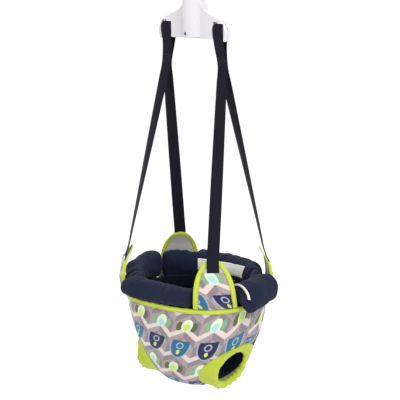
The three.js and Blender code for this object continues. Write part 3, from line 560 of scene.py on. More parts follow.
def print_paint(name):
    paint = Paint(name, GROUND, 0.85, sheen_weight=0.15, sheen_roughness=0.5,
                  specular_ior_level=0.2)
    u, v, _ = paint.axes("UV")
    row = v / PRINT_ROW
    column = u / PRINT_PITCH - row * PRINT_SLANT
    odd_column = (column * 0.5).frac().below(0.5, 0.001)
    odd_row = (row * 0.5).frac().below(0.5, 0.001)
    even_row = odd_row * -1 + 1
    x = (column.frac() - 0.5) * PRINT_PITCH
    y = (row.frac() - 0.5) * PRINT_ROW

    def ellipse(cx, cy, rx, ry):
        """Centre and radii in mm."""
        dx, dy = (x - cx * MM) / (rx * MM), (y - cy * MM) / (ry * MM)
        return (dx * dx + dy * dy).below(1.0, 0.06)

    slant = (column.frac() - 0.5).abs() * 0.8
    band = ((row + slant + 0.12).frac() - 0.5).abs().below(0.115, 0.03)
    tone = (column * 2 + (row + slant).floor()).floor() * 0.5
    # Large motif: a tulip cup with a pale border, a ring on its middle line and a lime seed below it.
    # Small motif: a drop between two leaves. Each comes in two colourings.
    layers = (
        (tone.frac().below(0.25, 0.02), GROUND_DARK),
        (band, CREAM),
        (ellipse(0, 10, 28, 41.5) * y.below(15 * MM, 0.8 * MM) * odd_row, PALE_BLUE),
        (ellipse(0, 10, 24.5, 39) * y.below(22 * MM, 0.8 * MM) * odd_row,
         paint.mix(odd_column, NAVY, TEAL)),
        (ellipse(0, 7, 10, 10) * (ellipse(0, 7, 6.5, 6.5) * -1 + 1) * odd_row, PALE_BLUE),
        (ellipse(0, -13, 4.6, 7.5) * odd_row, LIME),
        (ellipse(-19, -2, 8.5, 13).either(ellipse(19, -2, 8.5, 13)) * even_row,
         paint.mix(odd_column, LEAF, OLIVE)),
        (ellipse(0, 1, 14, 18) * even_row, PALE_GREEN),
        (ellipse(0, -4, 9, 11) * even_row, paint.mix(odd_column, AQUA, LIME)),
    )
    colour = GROUND
    for mask, tint in layers:
        colour = paint.mix(mask, colour, tint)
    weave = weave_height(paint, 0.8 * MM)
    fine = paint.noise(500, detail=2)
    colour = paint.shade(colour, 0.8, ((paint.noise(8, detail=4) - 0.45) * 2).clamped())
    # painted shade: the colour is darkened where the weave is low, in the hollows between threads
    return paint.finish(paint.shade(colour, 0.72, (weave * -0.5).clamped(0.5)), fine * 0.14 + 0.78,
                        weave * (0.1 * MM) + paint.noise(30, detail=5) * (0.7 * MM) + fine * (0.08 * MM))


WEB_BLACK = (0.0075, 0.0065, 0.0155)
PAINTS = {  # name: (slot in the record, material)
    "print": ("printed_fabric", print_paint("printed_cloth")),
    "navy": ("navy_fabric", cloth_paint("navy_cloth", (0.0105, 0.015, 0.038), uv=False, sheen=0.04,
                                        gloss=0.1, crease=0.9 * MM)),
    "lime_tape": ("lime_fabric", cloth_paint("lime_tape", (0.5, 0.59, 0.05), pitch=1.4 * MM, sheen=0.15,
                                             patchy=0.2)),
    "lime_knit": ("lime_fabric", cloth_paint("lime_knit", (0.43, 0.51, 0.04), pitch=1.8 * MM, sheen=0.2,
                                             crease=0.8 * MM)),
    "grey": ("grey_fabric", cloth_paint("grey_lining", (0.52, 0.505, 0.49))),
    "white_tape": ("white_fabric", cloth_paint("white_tape", (0.72, 0.71, 0.66), pitch=0.7 * MM,
                                               sheen=0.1, patchy=0.15)),
    "webbing": ("webbing", webbing_paint("webbing", WEB_BLACK)),
    "webbing_run": ("webbing", webbing_paint("webbing_run", WEB_BLACK, upright=True)),
    "lime_thread": ("lime_fabric", cloth_paint("lime_thread", (0.36, 0.44, 0.03), pitch=0.5 * MM,
                                               uv=False, sheen=0.3)),
    "dark_thread": ("webbing", cloth_paint("dark_thread", (0.03, 0.034, 0.055), pitch=0.5 * MM, uv=False,
                                           sheen=0.3)),
    "white_plastic": ("white_plastic", plastic_paint("white_plastic", (0.56, 0.545, 0.57), 0.22, coat=0.3)),
    "grey_plastic": ("grey_plastic", plastic_paint("grey_plastic", (0.035, 0.037, 0.043), 0.38,
                                                   texture=0.12)),
    "zinc": ("zinc_steel", metal_paint("zinc_steel", (0.5, 0.51, 0.53), 0.36, (1, 1, 6))),
    # The screws are near-black: painted shade of the recesses they sit in, on plain zinc steel.
    "recess_shade_zinc": ("zinc_steel", metal_paint("zinc_painted_recess_shade", (0.09, 0.09, 0.1), 0.4, (1, 1, 1))),
    "spring": ("spring_steel", metal_paint("spring_steel", (0.25, 0.26, 0.28), 0.34, (1, 1, 1))),
    "rubber": ("pad_rubber", rubber_paint("pad_rubber", (0.02, 0.021, 0.023))),
}


# ---------------------------------------------------------------- the bucket's surface

def polar(a, b, power, angle):
    """The radius, at an angle, of a superellipse with half widths a and b."""
    c, s = np.abs(np.cos(angle)), np.abs(np.sin(angle))
    return ((c / a)**power + (s / b)**power)**(-1 / power)


def meridian(step):
    """Rows (drop, half width, half depth, power, bulge of the back) down the bucket."""
    power = np.linspace(RIM_POWER, BASE_POWER, len(SEAT_LEVELS))[:, None]
    levels = np.hstack([SEAT_LEVELS[:, 1:2], np.zeros((len(SEAT_LEVELS), 1)), -SEAT_LEVELS[:, :1],
                        SEAT_LEVELS[:, 2:], power, BACK_BULGE[:, None]])
    depth = SEAT_LEVELS[-1, 0]
    bottom = np.array([[15 * MM, 0, -depth - 1.3 * MM, 14 * MM, 2, 1],
                       [0.5 * MM, 0, -depth - 1.5 * MM, 0.5 * MM, 2, 1]])
    rows = resample(np.vstack([levels, bottom]), step)
    return np.stack([-rows[:, 2], rows[:, 0], rows[:, 3], rows[:, 4], rows[:, 5]], 1)


def leg_frame(points, side):
    """Places in a leg hole's own axes: along its long and short radius (1 at the edge) and out."""
    p = np.asarray(points, float) * np.array((side, 1, 1)) - LEG_CENTRE
    return p @ LEG_LONG / LEG_LONG_R, p @ LEG_SHORT / LEG_SHORT_R, p @ LEG_NORMAL


def leg_point(angle, scale, depth, side, shift=0.0):
    """A place round a leg hole. shift moves it with the cuff's mouth, which sits off the hole's middle."""
    p = (LEG_CENTRE + LEG_LONG * (LEG_LONG_R * scale * math.cos(angle) + MOUTH_LONG * shift)
         + LEG_SHORT * (LEG_SHORT_R * scale * math.sin(angle) + MOUTH_SHORT * shift)
         + LEG_NORMAL * depth)
    return p * np.array((side, 1, 1))


ROWS = meridian(3.2 * MM)
COLUMNS = 300
ANGLES = turns(COLUMNS)


def bucket_grid():
    """The bucket's middle surface (rows, columns, 3) and its outward normals."""
    back = np.sin(ANGLES) > 0
    r = np.stack([polar(a, np.where(back, b * bulge, b), p, ANGLES) for _, a, b, p, bulge in ROWS])
    grid = np.stack([r * np.cos(ANGLES), r * np.sin(ANGLES),
                     np.repeat((RIM_Z - ROWS[:, 0])[:, None], COLUMNS, 1)], 2)
    down = np.gradient(grid, axis=0)
    around = np.roll(grid, -1, 1) - np.roll(grid, 1, 1)
    normals = np.cross(down, around)
    normals /= np.linalg.norm(normals, axis=2)[:, :, None] + 1e-12
    return grid, normals


GRID, NORMALS = bucket_grid()


def cloth_drape():
    """How far the cloth stands off its smooth surface, in metres, at each point of GRID."""
    drop = RIM_Z - GRID[:, :, 2]
    lift = np.array([[(ripple(p, 0.085, 3.1) * 2.6 + ripple(p, 0.032, 7.7) * 0.9) * MM for p in row]
                     for row in GRID])
    lift *= np.clip(drop / (25 * MM), 0, 1)
    gather = np.sin(ANGLES * 66 + 2.2 * np.sin(ANGLES * 5))[None] * 0.5 * MM
    lift += gather * np.exp(-drop / (13 * MM))
    for side in (1, -1):
        a, b, out = (part.reshape(drop.shape) for part in leg_frame(GRID.reshape(-1, 3), side))
        radius = np.hypot(a, b)
        turn = np.arctan2(b, a)
        pucker = np.sin(turn * 17 + 1.5 * np.sin(turn * 3)) * 1.9 * MM * np.exp(-(radius - 1) / 0.22)
        pull = -2.2 * MM * np.exp(-((radius - 1) / 0.12)**2)
        lift += np.where((out > -50 * MM) & (radius > 0.9), pucker + pull, 0)
    seam = np.minimum(np.abs(GRID[:, :, 1]), 30 * MM)
    return lift - np.exp(-(seam / (2.2 * MM))**2) * 1.4 * MM * np.clip(drop / (8 * MM), 0, 1)


DRAPE = cloth_drape()


def arc_lengths():
    """Distance round each row of the grid from the front centre, and from the back centre."""
    steps = np.linalg.norm(np.roll(GRID, -1, 1) - GRID, axis=2)
    total = np.concatenate([np.zeros((len(GRID), 1)), np.cumsum(steps, 1)], 1)
    return [total - total[:, column][:, None] for column in (COLUMNS * 3 // 4, COLUMNS // 4)]


FRONT_ARC, BACK_ARC = arc_lengths()
DOWN_ARC = lengths(np.stack([(ROWS[:, 1] + ROWS[:, 2]) / 2, ROWS[:, 0]], 1))
PRINT_U0 = -63 * MM
PRINT_V0 = 12 * MM
PANEL_MIDDLE = 110 * MM  # where the front panel's print hangs lowest, from the front centre
PANEL_RISE = (0.5, 1.7)  # how steeply its rows rise before and after that, per metre squared
HOLE_EDGE = 0.055  # how far inside a leg hole a point may lie and be drawn out to its edge, in radii


def print_uv(row, column, at_front):
    """Where a point of the bucket lies on the flat cloth. The print sags on the front panel."""
    u = (FRONT_ARC if at_front else BACK_ARC)[row, column]
    rise = PANEL_RISE[u >= PANEL_MIDDLE] * (u - PANEL_MIDDLE)**2 if at_front else 0
    return u + PRINT_U0, PRINT_V0 - DOWN_ARC[row] - rise


def bucket_body(name, offset, thickness, paint, replaced):
    """A cloth bucket with its two leg holes."""
    flat = (GRID + NORMALS * (DRAPE + offset)[:, :, None]).reshape(-1, 3)
    hidden = np.zeros(len(flat), bool)
    for side in (1, -1):
        a, b, out = leg_frame(flat, side)
        radius = np.hypot(a, b)
        inside = (radius < 1) & (out > -HOLE_DEPTH)
        hidden |= inside & (radius < 1 - HOLE_EDGE)
        rim = inside & (radius >= 1 - HOLE_EDGE)
        moved = np.outer(a, LEG_LONG * LEG_LONG_R) + np.outer(b, LEG_SHORT * LEG_SHORT_R)
        moved = moved / np.maximum(radius, 1e-6)[:, None] + np.outer(out, LEG_NORMAL) + LEG_CENTRE
        flat[rim] = (moved * np.array((side, 1, 1)))[rim]
    faces, uv = [], []
    for i in range(len(GRID) - 1):
        for j in range(COLUMNS):
            k = (j + 1) % COLUMNS
            corners = (i * COLUMNS + j, (i + 1) * COLUMNS + j, (i + 1) * COLUMNS + k, i * COLUMNS + k)
            if not hidden[list(corners)].any():
                faces.append(corners)
                uv += [print_uv(row, column, ANGLES[j] >= math.pi)
                       for row, column in ((i, j), (i + 1, j), (i + 1, j + 1), (i, j + 1))]
    faces.append(tuple((len(GRID) - 1) * COLUMNS + j for j in range(COLUMNS)))
    uv += [(0, PRINT_V0 - DOWN_ARC[-1])] * COLUMNS
    obj = edit_mesh(mesh_object(name, flat, faces, uv), lambda bm: bmesh.ops.delete(
        bm, geom=[v for v in bm.verts if not v.link_faces], context="VERTS"))
    modify(obj, "SOLIDIFY", thickness=thickness, offset=-1)
    finish_piece(apply_modifiers(obj), "seat", paint, replaced)


bucket_body("outer_shell_cloth", 0.9 * MM, 1.3 * MM, "print", "seat_outer_shell")
bucket_body("liner_cloth", -1.4 * MM, 3 * MM, "navy", "seat_liner")


# ---------------------------------------------------------------- leg cuffs

def surface_depth(point, side):
    """Distance from the leg hole's plane, along its normal, at which the bucket is met."""
    for depth in np.arange(HOLE_DEPTH, -HOLE_DEPTH, -0.5 * MM):
        p = point + LEG_NORMAL * depth * np.array((side, 1, 1))
        drop = RIM_Z - p[2]
        if drop > ROWS[-1, 0]:
            continue
        if drop < 0:
            return depth
        a, b, power, bulge = interp_rows(drop, ROWS[:, 0], ROWS[:, 1:])
        b *= bulge if p[1] > 0 else 1
        if (abs(p[0]) / a)**power + (abs(p[1]) / b)**power < 1:
            return depth
    return -HOLE_DEPTH


def leg_cuff(side):
    """Rings of a gathered cuff, round its leg hole."""
    steps = 400
    depths = np.array([surface_depth(leg_point(i / steps * TAU, 0.99, 0, side), side)
                       for i in range(steps)])
    kernel = np.ones(15) / 15
    depths = np.convolve(np.concatenate([depths[-7:], depths, depths[:7]]), kernel, "valid")
    out = CUFF_OUT[side]
    rings = []
    for i in range(steps):
        angle = i / steps * TAU
        s = depths[i]
        bottom = np.clip(0.5 - (leg_point(angle, 1, 0, side)[2] - LEG_CENTRE[2]) / (90 * MM), 0, 1)
        wave = math.sin(angle * 19 + 1.7 * math.sin(angle * 4)) * (0.5 + 1.0 * bottom)
        wave += 0.5 * math.sin(angle * 9 + 2)
        fat = smooth(bottom, 0.3, 0.9)
        profile = [
            # radius, depth from the leg hole's plane, share of the gathers and of the mouth's shift
            (1.0, s - 4.6 * MM, 0.0, 0), (1.03, s - 3.6 * MM, 0.0, 0), (1.036, s + 0.6 * MM, 0.05, 0),
            (1.028, s + 2.8 * MM, 0.15, 0), (1.0, s + 4.6 * MM, 0.3, 0.08),
            (0.955, s + (out - s) * 0.24 + 5.6 * MM, 0.5, 0.2),
            (0.89, s + (out - s) * 0.48 + 6 * MM, 0.7, 0.4),
            (0.81 + 0.06 * fat, s + (out - s) * 0.72 + (5 + 3 * fat) * MM, 0.7, 0.65),
            (0.74 + 0.1 * fat, s + (out - s) * 0.93 + (3.4 + 5 * fat) * MM, 0.7, 0.88),
            (0.69 + 0.07 * fat, out + (2.6 + 6 * fat) * MM, 0.9, 1),
            (0.655, out + (1.2 + 6 * fat) * MM, 1.1, 1),
            (0.64 - 0.05 * fat, out + (-1.6 + 3 * fat) * MM, 1.0, 1),
            (0.65 - 0.04 * fat, out - 4.2 * MM, 0.9, 0.95),
            (0.7, s + (out - s) * 0.72 - 2 * MM, 0.7, 0.7),
            (0.8, s + (out - s) * 0.48 - 1 * MM, 0.5, 0.45),
            (0.9, s + (out - s) * 0.22 - 1 * MM, 0.3, 0.2), (0.96, s - 3.5 * MM, 0.1, 0),
        ]
        rings.append([leg_point(angle, scale + wave * share * 0.01, depth + wave * share * MM, side, shift)
                      for scale, depth, share, shift in profile])
    return rings


for side, name in SIDES:
    cuff = loft("leg_cuff_cloth_" + name, leg_cuff(side), looped=True)
    finish_piece(cuff, "seat", "lime_knit", "leg_cuff_" + name)


# ---------------------------------------------------------------- rim binding and base pad

def rim_radius(angle):
    return polar(SEAT_LEVELS[0][1], SEAT_LEVELS[0][2], RIM_POWER, angle)


def rim_ring(section):
    """Rings round the rim through section(angle): points (out, up) from the rim's line."""
    rings = []
    for angle in ANGLES:
        out, up = np.array(section(angle), float).T
        flare = 0.045 * max(math.sin(angle), 0) * SEAT_LEVELS[0][2] / SEAT_LEVELS[1][0]
        rings.append(at_angle(angle, rim_radius(angle) + out + flare * np.maximum(-up, 0), up))
    return rings


def binding_section(angle):
    """The rim tape's section: folded over the bucket's edge, longer outside, with an uneven hem."""
    wobble = 0.35 * MM * math.sin(angle * 31 + 2 * math.sin(angle * 7))
    hem = 0.5 * MM * math.sin(angle * 23 + 3 * math.sin(angle * 4))
    section = [(3.2, -9.2), (3.9, -8.2), (4.1, -5), (4, -2), (3.3, 0.6), (1.2, 2.2), (-1.5, 2.2),
               (-3.2, 1.4), (-3.6, 0.6), (-1, 0.6), (1, 0.4), (1.9, -1), (2.1, -5), (2.2, -9.2)]
    return [(x * MM + (wobble if x > 2.5 else 0), z * MM + (hem if z < -7 else 0)) for x, z in section]


finish_piece(loft("rim_tape", rim_ring(binding_section), looped=True), "seat", "lime_tape", "rim_binding")
STITCH_FACES = grid_faces(3, 6, wrap_cols=True) + [tuple(range(5, -1, -1)), tuple(range(12, 18))]


def stitches(name, path, normals, paint, length=3.0 * MM, pitch=4.4 * MM, radius=0.33 * MM, body="seat",
             slot=None):
    """A row of stitches along a path (n, 3), each a short thread that dips in at both ends."""
    path = np.asarray(path, float)
    both = np.hstack([path, normals])
    distance = lengths(path)
    verts, faces = [], []
    for k in range(int(distance[-1] / pitch)):
        spots = interp_rows((k + 0.2) * pitch + np.array((0, 0.5, 1)) * length, distance, both)
        along = unit(spots[2][:3] - spots[0][:3])
        up = unit(spots[1][3:] - along * along.dot(spots[1][3:]))
        side = np.cross(along, up)
        faces += [tuple(len(verts) + i for i in face) for face in STITCH_FACES]
        for spot, lift, size in zip(spots, (-0.25, 0.75, -0.25), (0.6, 1, 0.6)):
            verts += [spot[:3] + up * radius * (lift + size * math.sin(a))
                      + side * radius * size * 1.1 * math.cos(a) for a in turns(6)]
    finish_piece(outward(mesh_object(name, verts, faces)), body, paint, slot=slot)


def rim_line(out, up):
    """A closed line round the rim, with the direction away from the bucket's axis at each point."""
    points = np.array(rim_ring(lambda angle: [(out, up)]))[:, 0]
    points = np.vstack([points, points[:1]])
    return points, points * np.array((1, 1, 0))


stitches("rim_stitching", *rim_line(4.2 * MM, -7.4 * MM), "lime_thread")
PAD_Z = RIM_Z - SEAT_LEVELS[-1][0] + 7 * MM
base_cushion = loft("base_cushion", [
    [(50 * MM * scale * math.cos(a), 40 * MM * scale * math.sin(a),
      PAD_Z + height * MM + 0.4 * MM * math.cos(6 * a) * scale) for a in ANGLES[::3]]
    for scale, height in ((0.5, 0.2), (0.9, 0), (0.98, 1.4), (1, 3.5), (0.97, 5.6), (0.9, 7.2),
                          (0.6, 7.7), (0.25, 7.4))])
finish_piece(base_cushion, "seat", "navy", "seat_base_pad")


# ---------------------------------------------------------------- tabs and their straps

CORNER_ANGLE = math.atan2(TAB_TOP[1], TAB_TOP[0])


def rim_track():
    """Places along half of the rim, and how far along the rim each is from a tab's corner."""
    angles = np.linspace(0, math.pi, 1441)
    r = np.array([rim_radius(a) for a in angles])
    at = np.stack([r * np.cos(angles), r * np.sin(angles)], 1)
    distance = lengths(at)
    return at, distance - np.interp(CORNER_ANGLE, angles, distance)


TRACK, TRACK_AT = rim_track()


def on_rim(offset):
    """The place (x, y) at a distance along the rim from a tab's corner."""
    return interp_rows(offset, TRACK_AT, TRACK)


TANGENT = unit(on_rim(4 * MM) - on_rim(-4 * MM))
OUTWARD = np.array((TANGENT[1], -TANGENT[0]))
TAB_NORMAL = unit((*OUTWARD, 0.05))
TAB_FOOT = RIM_Z + 2.8 * MM
TAB_PRINT_U = 8 * MM
TAB_PRINT_V = 10 * MM


def tab_point(u, v, offset=0.0, lean=TAB_LEAN):
    """A tab's surface in the (+X, +Y) corner: u across in metres, v from base (0) to top (1)."""
    v = max(v, 0.0)
    flat = on_rim(u - TAB_SHIFT * (1 - v)) * (1 - v**0.8) + (TAB_TOP[:2] + TANGENT * u) * v**0.8
    flat = flat + OUTWARD * (TAB_BULGE * math.sin(math.pi * v**0.643) - lean * smooth(v, 0.74, 1.0))
    return np.array((*flat, TAB_FOOT + (TAB_TOP[2] - TAB_FOOT) * v)) + TAB_NORMAL * offset


def tab_half(v):
    """Half a tab's width."""
    return TAB_HALF_W * (1 - 0.19 * v) * max(1 - v**4, 0)**0.58


def tab_sheet(name, top, offset, thickness, puff):
    """A cloth sheet with rolled edges, from the rim up to v = top."""
    rows, cols = 44, 30
    layers = np.zeros((2, rows + 1, cols + 1, 3))
    uvs = []
    for i in range(rows + 1):
        v = top * i / rows
        half = max(tab_half(v) - BIND_W / 2 + 0.6 * MM, 2 * MM)
        for j in range(cols + 1):
            across = 2 * j / cols - 1
            u = half * across
            edge = min(1, (1 - abs(across)) * 9, (rows - i) / 2.5 + 0.25)
            out = puff * math.sin(math.pi * j / cols) * math.sin(math.pi * min(v / top, 1)**0.8)
            p = tab_point(u, v)
            out += offset + (ripple(p, 0.03, 5.0) * 0.5 + ripple(p, 0.011, 2.0) * 0.2) * MM
            for layer, side in enumerate((1, -1)):
                layers[layer, i, j] = tab_point(u, v, out + side * thickness / 2 * edge)
            uvs.append((u + TAB_PRINT_U, v * TAB_HEIGHT * 1.08 + TAB_PRINT_V))
    return sheet_body(name, layers, uvs)


def tab_edge(count):
    """Stations along the tape round a tab: (u, v, inward direction in u, and in v)."""
    stations = []
    for along in 2 * np.arange(count + 1) / count - 1:
        v = 0.985 * (1 - abs(along)**2.08)
        side = 1 if along > 0 else -1
        inward_u = -side * smooth(abs(along), 0, 0.35)
        stations.append((side * tab_half(v) * min(1, abs(along) * 6), v,
                         inward_u, -math.sqrt(max(0, 1 - inward_u**2))))
    return stations


def tab_tape(name):
    """Tape folded over a tab's edge: wide on the face below the strap, turned back above it."""
    half = BIND_W / 2
    back = -3.8 * MM
    rings = []
    for k, (u, v, du, dv) in enumerate(tab_edge(150)):
        face = 3.9 * MM - 4.5 * MM * smooth(v, TAB_FACE_END - 0.09, TAB_FACE_END - 0.02)
        wobble = 0.3 * MM * math.sin(k * 0.7) + 0.2 * MM * math.sin(k * 1.9)
        section = (  # how far inward from the tab's edge, and how far out of its surface
            (half + wobble, face - 0.9 * MM), (half + wobble, face - 0.1 * MM),
            (half * 0.5, face + 0.25 * MM), (-half * 0.4, face + 0.2 * MM),
            (-half * 0.92, face - 0.5 * MM), (-half * 1.08, (face + back) / 2),
            (-half * 0.92, back + 0.5 * MM), (-half * 0.4, back), (half * 0.5, back),
            (half - wobble, back + 0.2 * MM), (half - wobble, back + 1.0 * MM),
            (0, min(back + 1.6 * MM, face - 1 * MM)))
        rings.append([tab_point(u + du * inset, v + dv * inset / TAB_HEIGHT, out) for inset, out in section])
    return loft(name, rings)


def tab_seam(corner, inset, offset):
    """The tape's stitching, one line up each side of a tab, with the normal at each point."""
    path = [tab_point(u + du * inset, v + dv * inset / TAB_HEIGHT, offset) * corner
            for u, v, du, dv in tab_edge(300) if v < TAB_FACE_END - 0.1]
    middle = len(path) // 2
    return [(part, [TAB_NORMAL * corner] * len(part)) for part in (path[:middle], path[middle:])]


CORNERS = (("front_left", 1, -1), ("front_right", -1, -1), ("back_left", 1, 1), ("back_right", -1, 1))
for name, sx, sy in CORNERS:
    for obj, paint, layer in (
            (tab_sheet("tab_face_" + name, TAB_FACE_END, 2.6 * MM, 1.5 * MM, 1.2 * MM), "print", "outer"),
            (tab_sheet("tab_lining_cloth_" + name, 0.95, -2.3 * MM, 1.6 * MM, 0.3 * MM), "grey", "lining"),
            (tab_tape("tab_tape_" + name), "lime_tape", "binding")):
        set_vertices(obj, vectors(obj.data.vertices, "co") * (sx, sy, 1))
        if sx * sy < 0:
            outward(obj)
        finish_piece(obj, "seat", paint, "tab_" + name + "_" + layer)
    for part, (path, normals) in zip("ab", tab_seam(np.array((sx, sy, 1)), 4.6 * MM, 4.1 * MM)):
        stitches("tab_stitching_" + name + "_" + part, path, normals, "lime_thread")


def strap_across(side, sy):
    """The direction that a strap's width lies along at a tab."""
    return np.array((-TANGENT[0], -TANGENT[1] * side * sy, 0))


def strap_pinch(side, sy):
    """Where a strap's two legs come together under the spreader."""
    return np.array((side * PINCH_X, sy * 1.3 * MM, STRAP_TOP - PINCH_DROP))


def seat_strap(side):
    """Stations from the front tab, over the roller, to the back tab."""
    reach = ROLLER_R + GAP + WEB_T / 2

    def leg(sy):
        across = strap_across(side, sy)
        points = [(*(tab_point(0, v, lean=0) * (side, sy, 1)), *across) for v in (0.5, 0.65, 0.82)]
        for t in np.arange(13) / 12:
            wide = unit(across * (1 - t) + np.array((1, 0, 0)) * t)
            points.append((*(TAB_TOP * (side, sy, 1) * (1 - t) + strap_pinch(side, sy) * t), *wide))
        points.append((side * HOOK_X, sy * 6.6 * MM, ROLLER_Z - 36 * MM, 1, 0, 0))
        points.append((side * HOOK_X, sy * reach * 0.98, ROLLER_Z - 8 * MM, 1, 0, 0))
        return points

    over = [(side * HOOK_X, reach * math.cos(a), ROLLER_Z + reach * math.sin(a), 1, 0, 0)
            for a in np.linspace(math.pi, 0, 9)]
    return leg(-1) + over + leg(1)[::-1]


def box_stitches(name, centre, along, across, out, length, width, body="seat"):
    """A sewn box with a cross in it, on strap webbing."""
    along, across, out = unit(along), unit(across), unit(out)
    corners = [(-1, -1), (1, -1), (1, 1), (-1, 1), (-1, -1), (1, 1), (1, -1), (-1, 1)]
    places = [centre + along * a * length / 2 + across * b * width / 2 for a, b in corners]
    path = np.concatenate([np.linspace(p, q, 12)[:-1] for p, q in zip(places, places[1:])])
    stitches(name, path, np.repeat(out[None], len(path), 0), "dark_thread", length=2.4 * MM,
             pitch=3.4 * MM, radius=0.3 * MM, body=body)


for side, name in SIDES:
    strap = web_loft("seat_webbing_" + name, seat_strap(side), 2.2 * MM)
    finish_piece(strap, "seat", "webbing", "seat_strap_" + name)
    for sy, end in ((-1, "front"), (1, "back")):
        offset = np.array((-side * 1.6 * MM, sy * (WEB_T / 2 + 1.6 * MM), 12 * MM))
        box_stitches("strap_box_" + name + "_" + end, strap_pinch(side, sy) + offset,
                     (-side * 0.13, sy * 0.1, 1), (1, 0, 0), (0, sy, 0.05), 18 * MM, 20 * MM)


# ---------------------------------------------------------------- collar

COLLAR_R = 176 * MM  # about the rim's radius at the collar, which turns angles into lengths
RING_POINTS = 40
FULL_RIGHT = math.radians(210)  # where COLLAR_OUT_RIGHT is in full
BULGE_AT, BULGE = math.radians(237), 9 * MM  # a further swelling at the rider's right front
FREE_FROM, FREE_TO = 0.05, 0.068  # distances from a tab between which the collar gets its full width
PRESS, PRESS_FROM, PRESS_TO = 20 * MM, 0.035, 0.06  # how far it leans out on a tab, and over what distance


def from_tab(angle):
    """Distance along the rim from the nearest tab."""
    base = CORNER_ANGLE - TAB_SHIFT / COLLAR_R
    corners = np.array((base, math.pi - base, math.pi + base, TAU - base))
    difference = np.abs((angle - corners) % TAU)
    return np.minimum(difference, TAU - difference).min() * COLLAR_R


def collar_section(angle, pinch):
    """A standing collar's outline, as (out from the rim, height over it). pinch under 1 closes it."""
    full_out = COLLAR_OUT + COLLAR_OUT_RIGHT * smooth(math.cos(angle - FULL_RIGHT), 0.55, 0.9)
    full_out += BULGE * smooth(math.cos(angle - BULGE_AT), 0.93, 0.99)
    beside = from_tab(angle)
    out = -11 * MM + (full_out + 11 * MM) * smooth(beside, FREE_FROM, FREE_TO)
    press = PRESS * (1 - smooth(beside, PRESS_FROM, PRESS_TO))
    back = smooth((1 + math.sin(angle)) / 2, 0.3, 0.75)
    rise = min(1, back + smooth(-math.cos(angle), 0.2, 0.9) * 0.5)
    height = COLLAR_FRONT + (COLLAR_BACK - COLLAR_FRONT) * rise - COLLAR_TILT * math.cos(angle) * back
    points = []
    for turn in turns(RING_POINTS):
        c, s = (math.copysign(abs(f(turn))**0.78, f(turn)) for f in (math.cos, math.sin))
        r = (out - COLLAR_IN) / 2 + (out + COLLAR_IN) / 2 * pinch * c
        z = (height + 3 * MM) / 2 + (height - 3 * MM) / 2 * (1 + (pinch - 1) * 0.4) * s
        r += press * max(c, 0) * math.sin(math.pi * min(max(z / (62 * MM), 0), 1))
        points.append((r, z))
    return np.array(points)


FOLDED = MM * np.array([(62, 26), (56, 46), (34, 62), (2, 66), (-22, 56), (-36, 34), (-34, 12),
                        (-20, 6), (2, 5), (15, 5), (33, -12), (54, -4)])
FOLD_END = 0.31  # the angle, in radians, past which the left collar stands instead of lying folded


def even_ring(points):
    """RING_POINTS points evenly spread round a smooth closed ring through points."""
    wrapped = np.vstack([points[-3:], points, points[:4]])
    knots, piece = spline(wrapped, wrapped)
    result = []
    for x in np.linspace(knots[3], knots[3 + len(points)], RING_POINTS, endpoint=False):
        i = min(max(np.searchsorted(knots, x, "right") - 1, 0), len(knots) - 2)
        result.append(piece(i, (x - knots[i]) / (knots[i + 1] - knots[i])))
    return np.array(result)


def folded_section(angle, pinch):
    """The left collar's outline: folded outward over the rim at its front, standing further back."""
    middle = np.array((4 * MM, 34 * MM))
    ring = middle + (FOLDED - middle) * pinch
    ring[:, 1] += 22 * MM * smooth(angle, -0.3, 0.25) * smooth(FOLDED[:, 0], -10 * MM, 30 * MM)
    folded = even_ring(ring)
    stand = smooth(angle, FOLD_END - 0.16, FOLD_END)
    return folded + (collar_section(angle, pinch) - folded) * stand


def grown(flat, share):
    middle = flat.mean(0)
    return middle + (flat - middle) * (1 + share)


def end_pinch(near):
    """How far a collar's section is closed: near is 0 at the collar's end and 1 clear of it."""
    return 0.62 + 0.38 * math.sqrt(1 - (1 - min(near, 1))**2)


END_DEGREES = 8  # the length of a collar's rounded end


def collar_rings(start, end, section):
    """Rings of a collar piece with closed, rounded ends, a little smaller than it swells to."""
    rings = []
    for t in np.linspace(0, 1, round((end - start) / 2) + 1):
        angle = math.radians(start + (end - start) * t)
        flat = section(angle, end_pinch(min(t, 1 - t) * (end - start) / END_DEGREES))
        out, up = grown(flat, -2.2 / 30).T
        rings.append(at_angle(angle, rim_radius(angle) + out, up))
    return rings


CLOTH = {"use_pressure": True, "uniform_pressure_force": 4.0, "quality": 6, "tension_stiffness": 12,
         "compression_stiffness": 6, "bending_stiffness": 0.4, "mass": 0.3}
CLOTH_FRAMES = 20


def swell(obj, cap):
    """Inflates a closed cloth body with Cloth, keeps each point within cap of where it was."""
    remesh(obj, 5 * MM, 2)
    start = vectors(obj.data.vertices, "co")
    settings = modify(obj, "CLOTH").settings
    settings.effector_weights.gravity = 0
    for key, value in CLOTH.items():
        setattr(settings, key, value)
    for step in range(1, CLOTH_FRAMES + 1):
        bpy.context.scene.frame_set(step)
    apply_modifiers(obj)
    bpy.context.scene.frame_set(1)
    move = vectors(obj.data.vertices, "co") - start
    far = np.linalg.norm(move, axis=1)[:, None]
    set_vertices(obj, start + move * np.minimum(1, cap / np.maximum(far, 1e-9)))
    modify(obj, "SMOOTH", iterations=3)
    modify(obj, "SUBSURF", levels=1)
    return apply_modifiers(obj)


def crumple(obj, seed):
    """Folds and dents of filled cloth."""
    co, normals = vectors(obj.data.vertices, "co"), vectors(obj.data.vertex_normals, "vector")
    lift = np.zeros(len(co))
    for i, p in enumerate(co):
        along = math.atan2(p[1], p[0]) * COLLAR_R
        fold = ripple((along / 1.2, p[2] / 2.4, 0), 0.013, seed)
        lift[i] = ripple(p, 0.045, seed) * 3.4 * MM + fold * 2.3 * MM + ripple(p, 0.009, seed) * 0.3 * MM
    set_vertices(obj, co + normals * (lift - 0.6 * MM)[:, None])
    return obj


